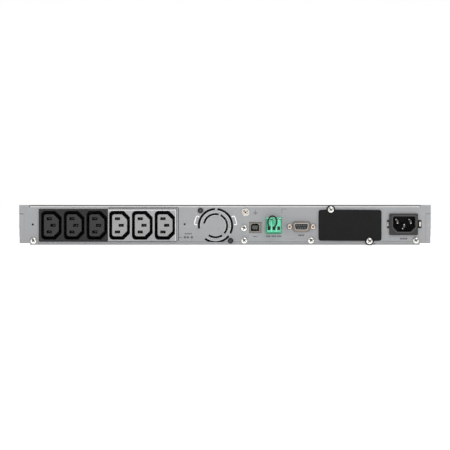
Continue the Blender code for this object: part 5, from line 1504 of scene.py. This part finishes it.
def figure(centre, size, lit_bars):
    """A seven-bar numeral from bars a to g."""
    x, z = centre
    half, third = size / 2, size * 0.28
    runs = {"a": ((-third, half), (third, half)), "d": ((-third, -half), (third, -half)),
            "g": ((-third, 0.0), (third, 0.0)), "b": ((third, 0.0), (third, half)),
            "c": ((third, -half), (third, 0.0)), "f": ((-third, 0.0), (-third, half)),
            "e": ((-third, -half), (-third, 0.0))}
    made = []
    for label in lit_bars:
        (ax, az), (bx, bz) = runs[label]
        trim = Vector((bx - ax, bz - az)).normalized() * size * 0.06
        made.append(stroke((x + ax + trim.x, z + az + trim.y), (x + bx - trim.x, z + bz - trim.y),
                           size * 0.1))
    return made


VENT_PITCH = 0.0062
MARK_LINE = 0.0006


def vent_filter(name, low_x, high_x):
    """Foam behind a run of vents."""
    back_y = FACE_Y - 0.0033
    return cuboid(name, (low_x, back_y - 0.0022, 0.0068), (high_x, back_y, 0.0364), FOAM, 0.0004)


def vent_slats(first_x, count):
    """A slat down the middle of each vent."""
    slat = cuboid("slat", (-0.0004, -0.0012, -0.0129), (0.0004, 0.0003, 0.0129), None, 0.00015)
    return grow("slats", ROW, slat, BEZEL, count=count, start=(first_x, FACE_Y - 0.0009, 0.0216),
                step=(VENT_PITCH, 0.0, 0.0))


def ridges(low_x, high_x):
    """Raised lines along the lower and upper edges of a front face."""
    return [cuboid("ridge", (low_x, FACE_Y - 0.0002, foot), (high_x, FACE_Y + 0.0003, foot + 0.0008),
                   BEZEL, 0.0002) for foot in (0.0029, 0.0395)]


def key_marks(key, centre):
    """Outlines of the mark on a key's cap."""
    x, z = centre
    if key == "key_escape":
        reach = 0.0014
        return [stroke((x - reach, z - reach), (x + reach, z + reach), MARK_LINE),
                stroke((x - reach, z + reach), (x + reach, z - reach), MARK_LINE)]
    if key == "key_enter":
        return [stroke((x - 0.0016, z), (x + 0.0015, z), MARK_LINE),
                stroke((x + 0.0015, z - 0.0003), (x + 0.0015, z + 0.0016), MARK_LINE)]
    if key == "power_key":
        return [arc_band(centre, 0.0024, MARK_LINE, -235, 55, 16),
                stroke(centre, (x, z + 0.0030), MARK_LINE)]
    return [arrow(centre, 0.0016, key == "key_up")]


def make_front():
    """Bezel and drawer fascia with filters, the display, its keys, lights and fixing screws."""
    rounded_node("front_bezel", BEZEL, 0.0005)
    rounded_node("drawer_fascia", BEZEL, 0.0005)
    details = [vent_filter("drawer_filter", -0.1985, -0.0155), vent_slats(-0.107 - 14 * VENT_PITCH, 29)]
    details += ridges(-0.2165, -0.0028)
    rides(joined("fascia_details", details), "battery_drawer", "black_plastic")
    places = [((x, FACE_Y + 0.0001, 0.0216), 0.6, 1.0) for x in (-0.2085, -0.0085)]
    head = baked_turn(pan_head("knob", 0.0032, 0.0006, 0.0015, 0.001), FACING_FRONT)
    rides(grow("drawer_fixing_screws", PLACES, head, TARNISH_SHADE_AND_SHEEN, ground=spots(places)), "battery_drawer",
          "bright_metal")

    plate_y = high("front_plate").y
    seal = cuboid("seam_seal", (-0.0013, plate_y + 0.00002, 0.0035), (0.0015, plate_y + 0.00024, 0.0415),
                  FOAM)
    rides(seal, "case", "black_plastic")
    details = [vent_filter("small_filter", 0.0062, 0.0270), vent_slats(0.0103, 3)]
    details += ridges(0.0032, 0.2165)
    glass_low, glass_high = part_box("display_window")
    glass_x, glass_z = (glass_low.x + glass_high.x) / 2, (glass_low.z + glass_high.z) / 2
    glass_wide, glass_tall = glass_high.x - glass_low.x, glass_high.z - glass_low.z
    corner = ((0.0015, 4),) * 4
    surround = upright_plate("surround", [
        outline_shape(glass_wide + 0.0042, glass_tall + 0.0042, ((0.0025, 4),) * 4, (glass_x, glass_z)),
        outline_shape(glass_wide + 0.0012, glass_tall + 0.0012, corner, (glass_x, glass_z))],
        FACE_Y - 0.0003, FACE_Y + 0.0004, BEZEL, 0.0002)
    rides(joined("bezel_details", details + [surround]), "case", "black_plastic")

    rounded_node("display_window", LENS, 0.0003)
    face = glass_high.y
    shown = []
    for index, marks in enumerate(("bc", "abcdef", "abcdef")):
        shown += figure((glass_x + 0.0075 - index * 0.0075, glass_z), 0.0085, marks)
    gauge = (glass_x + 0.0265, glass_z)
    shown += [stroke((gauge[0] - 0.0085, gauge[1] + 0.0045), (gauge[0] + 0.0085, gauge[1] + 0.0045),
                     0.0006),
              stroke((gauge[0] - 0.0085, gauge[1] - 0.0045), (gauge[0] + 0.0085, gauge[1] - 0.0045),
                     0.0006),
              stroke((gauge[0] - 0.0085, gauge[1] - 0.0045), (gauge[0] - 0.0085, gauge[1] + 0.0045),
                     0.0006),
              stroke((gauge[0] + 0.0085, gauge[1] - 0.0045), (gauge[0] + 0.0085, gauge[1] + 0.0045),
                     0.0006)]
    shown += bars([(gauge[0] + 0.006 - index * 0.004, gauge[1]) for index in range(4)], 0.0028, 0.0062)
    shown += bars([(glass_x - 0.0185 - index * 0.0042,
                    glass_z - 0.0025 + index * 0.0007) for index in range(5)],
                  0.0026, 0.0050)
    printed("display_segments", shown, SEGMENT, face_y=face, thick=0.00004, slot="window_glass")

    for key in ("key_escape", "key_down", "key_up", "key_enter", "power_key"):
        centre = middle(key)
        key_face = high(key).y - 0.0001
        spot = (centre.x, centre.z)
        cap = upright_plate("cap", [face_outlines(key, high(key).y)[0]], key_face - 0.0035, key_face,
                            KEYCAP, 0.0006)
        outline = face_outlines(key, high(key).y)[0]
        shrunk = [(centre.x + (x - centre.x) * 0.97, centre.z + (z - centre.z) * 0.97) for x,
                  z in outline]
        stem = upright_plate("stem", [shrunk], low(key).y, key_face - 0.0034, KEYCAP)
        parts = [cap, stem]
        for shape in key_marks(key, spot):
            parts.append(upright_plate("icon", [shape], key_face - 0.0001, key_face + 0.00004, WHITE_INK))
        if key == "power_key":
            ring = [circle_shape(spot, 0.0052, 40), circle_shape(spot, 0.0047, 40)]
            parts.append(upright_plate("glow", ring, key_face - 0.0001, key_face + 0.00004, GREEN_LIGHT))
        rides(joined(key + "_finished", parts), body_of(key), slot_of(key), key)
    pipe = turned("pipe",
                  [(0.0, 0.0004), (0.0007, 0.0003), (0.0010, 0.0), (0.0010, -0.0012), (0.0, -0.0012)], 20)
    places = [((x, FACE_Y + 0.0001, 0.0330), 0.0, 1.0) for x in (0.078, 0.064, 0.050, 0.036)]
    lights = grow("indicator_lights", PLACES, baked_turn(pipe, FACING_FRONT), GREEN_LIGHT,
                  ground=spots(places))
    rides(lights, "case", "window_glass")


# ---------------------------------------------------------------- inside
def torus(name, radius, thickness, steps, material=None):
    points = [(radius * math.cos(2 * math.pi * step / steps),
               radius * math.sin(2 * math.pi * step / steps))
              for step in range(steps)]
    rings = []
    for x, y in points:
        out = Vector((x, y, 0.0)).normalized()
        rings.append([tuple(Vector((x, y, 0.0)) + out * thickness * math.cos(a)
                            + Vector((0, 0, thickness * math.sin(a))))
                      for a in (2 * math.pi * part / 14 for part in range(14))])
    return loft(name, rings, material, closed=True)


def choke():
    """A ring core wound with heavy wire, standing on the board."""
    core = torus("core", 0.0085, 0.0036, 36, CERAMIC)
    turn = torus("turn", 0.0047, 0.00055, 18)
    baked_turn(turn, Matrix.Rotation(math.pi / 2, 4, "X"))
    coil = grow("coil", RING, turn, COPPER, count=22, radius=0.0085)
    made = joined("choke", [core, coil])
    return baked_turn(made, Matrix.Translation((0, 0, 0.0135)) @ Matrix.Rotation(math.pi / 2, 4, "X"))


def can(radius, height):
    """A capacitor: crimped sleeve and scored top."""
    body = turned("can", [(0.0, 0.0003), (radius * 0.96, 0.0003), (radius, 0.0012), (radius, 0.0025),
                          (radius * 0.95, 0.0032), (radius, 0.0040), (radius, height - 0.0006),
                          (radius * 0.93, height), (radius * 0.86, height - 0.0002),
                          (0.0, height - 0.0002)], 32,
                  BLUE_SLEEVE)
    top = turned("top",
                 [(0.0, height - 0.0001), (radius * 0.84, height - 0.0001),
                  (radius * 0.84, height - 0.0006),
                         (0.0, height - 0.0006)], 32, EXTRUDED)
    score = [cuboid("score", (-radius * 0.6, -0.00015, height - 0.00012),
                    (radius * 0.6, 0.00015, height + 0.00003),
                    RECESS) for _way in (0, 1)]
    baked_turn(score[1], Matrix.Rotation(math.pi / 2, 4, "Z"))
    return joined("can", [body, top] + score)


def stand(name, piece, places):
    """Copies of a piece at places on the board, each (x, y, size), keeping its own materials."""
    board_z = high("main_board").z
    made = []
    for index, (x, y, size) in enumerate(places):
        mesh = piece.data.copy()
        mesh.transform(Matrix.Translation((x, y, board_z)) @ Matrix.Rotation(index * 0.7, 4, "Z")
                       @ Matrix.Scale(size, 4))
        made.append(link("copy", mesh))
    bpy.data.objects.remove(piece)
    return joined(name, made)


def make_inside():
    """The main board's components, the transformer, the sheet parts and the small boards."""
    for node in ("front_plate", "bay_divider", "card_cage"):
        rounded_node(node, ZINC, 0.0)
    for node in ("main_board", "display_board"):
        rounded_node(node, BOARD, 0.0002)
    board_z = high("main_board").z

    core_low, core_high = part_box("transformer")
    inner = 0.013
    core = cuboid("core", (core_low.x, core_low.y + inner, core_low.z),
                  (core_high.x, core_high.y - inner, core_high.z),
                  CORE, 0.0006)
    coil = cuboid("coil", (core_low.x + 0.017, core_low.y, core_low.z + 0.003),
                  (core_high.x - 0.017, core_high.y, core_high.z - 0.003), COPPER, 0.006, 5)
    wrap = cuboid("wrap", (core_low.x + 0.0168, core_low.y + 0.004, core_low.z + 0.0029),
                  (core_high.x - 0.0168, core_low.y + 0.0125, core_high.z - 0.0029), TAPE, 0.004, 4)
    bolts = [((x, y, core_high.z - 0.0006), 0.0, 1.0) for x in (core_low.x + 0.006, core_high.x - 0.006)
             for y in (core_low.y + inner + 0.006, core_high.y - inner - 0.006)]
    bolt_heads = flat_heads("core_bolts", bolts, Matrix.Identity(4), 0.0034)
    rides(joined("transformer_finished", [core, coil, wrap, bolt_heads]), "case", "winding",
          "transformer")

    rounded_node("heatsink", EXTRUDED, 0.0002)
    sink_low, sink_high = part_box("heatsink")
    body = cuboid("body", (0.0, -0.0050, 0.0020), (0.0040, 0.0050, 0.0140), None, 0.0003)
    switches = grow("power_switches", ROW, body, CERAMIC, count=6,
                    start=(sink_high.x + 0.0003, sink_low.y + 0.012, board_z), step=(0.0, 0.0205, 0.0))
    rides(switches, "case", "black_plastic")

    tank_low, tank_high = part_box("bulk_capacitor")
    tank = can((tank_high.x - tank_low.x) / 2, tank_high.z - tank_low.z)
    centre = middle("bulk_capacitor")
    baked_turn(tank, Matrix.Translation((centre.x, centre.y, tank_low.z)))
    tank.name = "bulk_capacitor_finished"
    rides(tank, "case", "capacitor_sleeve", "bulk_capacitor")

    cans = [(-0.185 + 0.014 * column, -0.122 - 0.013 * row,
             1.0) for column in range(4) for row in range(2)]
    cans += [(0.070, 0.020 + 0.014 * row, 1.1) for row in range(4)]
    rides(stand("board_capacitors", can(0.005, 0.021), cans), "case", "capacitor_sleeve")
    chokes = [(-0.112, -0.135, 1.0), (-0.078, -0.135, 1.0), (0.185, -0.190, 1.1), (0.080, -0.100, 0.95)]
    rides(stand("board_chokes", choke(), chokes), "case", "winding")
    relay = cuboid("relay", (-0.0095, -0.0075, 0.0), (0.0095, 0.0075, 0.0155), None, 0.0006)
    places = [((x, -0.205, board_z + 0.00005), 0.0, 1.0) for x in (-0.170, -0.140, -0.110, -0.080)]
    relays = grow("board_relays", PLACES, relay, RELAY, ground=spots(places))
    rides(relays, "case", "charcoal_plastic")
    chip = cuboid("chip", (-0.0032, -0.0022, 0.00005), (0.0032, 0.0022, 0.0015), None, 0.0002)
    small = cuboid("small", (-0.0010, -0.0006, 0.00005), (0.0010, 0.0006, 0.0007), None, 0.0001)
    for name, piece, material, spacing, density, seed in (
            ("board_chips", chip, CERAMIC, 0.016, 2600.0, 5),
            ("board_smalls", small, EXTRUDED, 0.006, 14000.0, 9)):
        patch = bpy.data.meshes.new("patch")
        x0, x1, y0, y1 = -0.190, -0.012, -0.185, -0.112
        patch.from_pydata([(x0, y0, board_z), (x1, y0, board_z), (x1, y1, board_z), (x0, y1, board_z)],
                          [],
                          [(0, 1, 2, 3)])
        parts = grow(name, SCATTER, piece, material, ground=patch, spacing=spacing, density=density,
                     seed=seed)
        rides(parts, "case", "black_plastic")

    leads = []
    for index, (end_x, material) in enumerate(((0.176, RED_SLEEVE), (0.186, SLEEVE), (0.196, TAPE))):
        start = (0.1835 + index * 0.007, high("ac_inlet").y + 0.0006, 0.0215 + index * 0.001)
        route = [start, (start[0], start[1] + 0.010, 0.026), (end_x, start[1] + 0.026, 0.024),
                 (end_x, start[1] + 0.044, 0.014), (end_x, start[1] + 0.047, board_z + 0.0002)]
        leads.append(tube("lead", smooth_route(route, 28), 0.0012, material))
    route = [(0.004, high("fan_frame").y + 0.0008, 0.034), (0.006, high("fan_frame").y + 0.012, 0.036),
             (0.014, high("fan_frame").y + 0.030, 0.022),
             (0.015, high("fan_frame").y + 0.034, board_z + 0.0002)]
    leads.append(tube("fan_lead", smooth_route(route, 28), 0.0008, RED_SLEEVE))
    rides(joined("inner_leads", leads), "case", "wire_sleeve")


def make_drawer():
    """The battery tray with its six blocks, their links, leads and holding straps."""
    body = "battery_drawer"
    rounded_node("battery_tray", ZINC, 0.0003)
    pack_low, pack_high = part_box("battery_pack")
    gap = 0.0012
    columns, rows = 2, 3
    wide = (pack_high.x - pack_low.x - gap * (columns - 1)) / columns
    deep = (pack_high.y - pack_low.y - gap * (rows - 1)) / rows
    tall = pack_high.z - pack_low.z
    case = cuboid("case", (-wide / 2, -deep / 2, 0.0), (wide / 2, deep / 2, tall - 0.0022), None, 0.0010,
                  3)
    lid = cuboid("lid", (-wide / 2 + 0.0008, -deep / 2 + 0.0008, tall - 0.0035),
                 (wide / 2 - 0.0008, deep / 2 - 0.0008, tall - 0.0004), None, 0.0012, 3)
    caps = []
    for index in range(6):
        cap = turned("cap",
                     [(0.0, 0.0004), (0.0035, 0.0004), (0.0040, 0.0001), (0.0040, -0.0010),
                      (0.0, -0.0010)], 20)
        caps.append(baked_turn(cap, Matrix.Translation(((index - 2.5) * 0.0125, 0.0, tall - 0.0005))))
    block = joined("block", [case, lid] + caps)
    places = [((pack_low.x + wide / 2 + column * (wide + gap), pack_low.y + deep / 2 + row * (deep + gap),
                pack_low.z),
               0.0, 1.0) for column in range(columns) for row in range(rows)]
    blocks = grow("blocks", PLACES, block, BATTERY, ground=spots(places))
    rides(blocks, body, "battery_case", "battery_pack")
    blocks.name = "battery_blocks"

    top = pack_high.z - 0.0004
    limit = high("battery_tray").z
    tape = []
    for row in range(rows):
        y = pack_low.y + deep / 2 + row * (deep + gap) + deep * 0.22
        tape.append(cuboid("strap", (pack_low.x + 0.0010, y - 0.009, top - 0.0001),
                           (pack_high.x - 0.0010, y + 0.009,
                           top + 0.0003), TAPE, 0.0001))
        plate_y = y - deep * 0.44
        tape.append(cuboid("plate", (pack_low.x + 0.012, plate_y - 0.008, top - 0.0001),
                           (pack_low.x + 0.052, plate_y + 0.008, top + 0.00015), GREY_INK))
    rides(joined("battery_straps", tape), body, "battery_case")
    leads = []
    centre = middle("battery_connector")
    radius = 0.00055
    height = min(top + 0.0009, limit - radius)
    for offset, material in ((-0.0035, RED_SLEEVE), (0.0035, SLEEVE)):
        route = [(centre.x + offset, pack_low.y + 0.0010, height),
                 (centre.x + offset, pack_low.y + 0.030, height),
                 (centre.x + offset * 1.6, pack_low.y + 0.110, height),
                 (centre.x + offset, pack_high.y - 0.060, height),
                 (centre.x + offset * 3.5, pack_high.y - 0.030, height)]
        leads.append(tube("lead", smooth_route(route, 40), radius, material))
    for row in range(rows - 1):
        y = pack_low.y + (row + 1) * (deep + gap)
        for column in range(columns):
            x = pack_low.x + wide * (0.25 + column) + column * gap
            leads.append(cuboid("bridge", (x - 0.004, y - 0.012, top),
                                (x + 0.004, y + 0.010, top + 0.0006),
                                WARM_PLATE, 0.0002))
    rides(joined("battery_leads", leads), body, "wire_sleeve")

    rounded_node("battery_connector", BLACK, 0.0005)
    blade = cuboid("blade", (-0.0030, -0.0006, -0.0035), (0.0030, 0.0004, 0.0035), None, 0.0003)
    places = [((centre.x + x, low("battery_connector").y + 0.0002, centre.z), 0.0, 1.0)
              for x in (-0.008, 0.008)]
    rides(grow("connector_blades", PLACES, blade, GOLD, ground=spots(places)), body, "bright_metal")


# ---------------------------------------------------------------- stage, light and camera
def area_light(name, place, aim, size, power):
    data = bpy.data.lights.new(name, "AREA")
    data.shape = "RECTANGLE"
    data.size, data.size_y = size
    data.energy = power
    lamp = link(name, data)
    lamp.location = place
    lamp.rotation_euler = (Vector(aim) - Vector(place)).to_track_quat("-Z", "Y").to_euler()


def make_stage():
    shape = bmesh.new()
    bmesh.ops.create_grid(shape, x_segments=1, y_segments=1, size=12.0)
    floor = from_shape("floor", shape, backdrop("floor_white", (0.93, 0.93, 0.93), 0.85))
    world = bpy.data.worlds.new("studio")
    SCENE.world = world
    world.use_nodes = True
    world.node_tree.nodes.clear()
    g = Graph(world.node_tree)
    seen = g.node("ShaderNodeBackground", None, {"Color": (1.0, 1.0, 1.0, 1.0), "Strength": 1.0})
    lighting = g.node("ShaderNodeBackground", None, {"Color": (0.97, 0.985, 1.0, 1.0), "Strength": 0.50})
    direct = g.node("ShaderNodeLightPath", output="Is Camera Ray")
    both = g.tree.nodes.new("ShaderNodeMixShader")
    g.feed(both.inputs[0], direct)
    g.feed(both.inputs[1], lighting)
    g.feed(both.inputs[2], seen)
    g.node("ShaderNodeOutputWorld", None, {"Surface": Value(g, both.outputs[0])})
    aim = (0.0, 0.0, 0.02)
    area_light("key_light", (0.8, -1.7, 1.4), aim, (1.0, 0.8), 13.0)
    area_light("fill_light", (-1.5, -1.3, 0.7), aim, (0.9, 0.9), 2.2)
    area_light("top_light", (0.2, 0.2, 1.8), aim, (1.4, 1.4), 12.0)
    area_light("far_light", (0.5, 1.8, 1.3), aim, (1.2, 0.9), 16.0)
    SCENE.view_settings.view_transform = "Standard"


def make_camera():
    """Square on to the socket panel, from far enough to hide the ears behind the case."""
    distance = 2.5
    seen_width = 0.4788
    data = bpy.data.cameras.new("view")
    data.sensor_width = 36.0
    data.lens = data.sensor_width * distance / seen_width
    data.clip_start = 0.05
    data.clip_end = 60.0
    camera = link("view", data)
    camera.location = (0.0, PANEL_Y - distance, 0.0219)
    camera.rotation_euler = (math.pi / 2, 0.0, 0.0)
    SCENE.camera = camera


make_camera()
make_stage()
make_case()
make_fasteners()
make_outlets()
make_fan()
make_usb()
make_serial()
make_terminal()
make_slot_and_inlet()
make_prints()
make_front()
make_inside()
make_drawer()
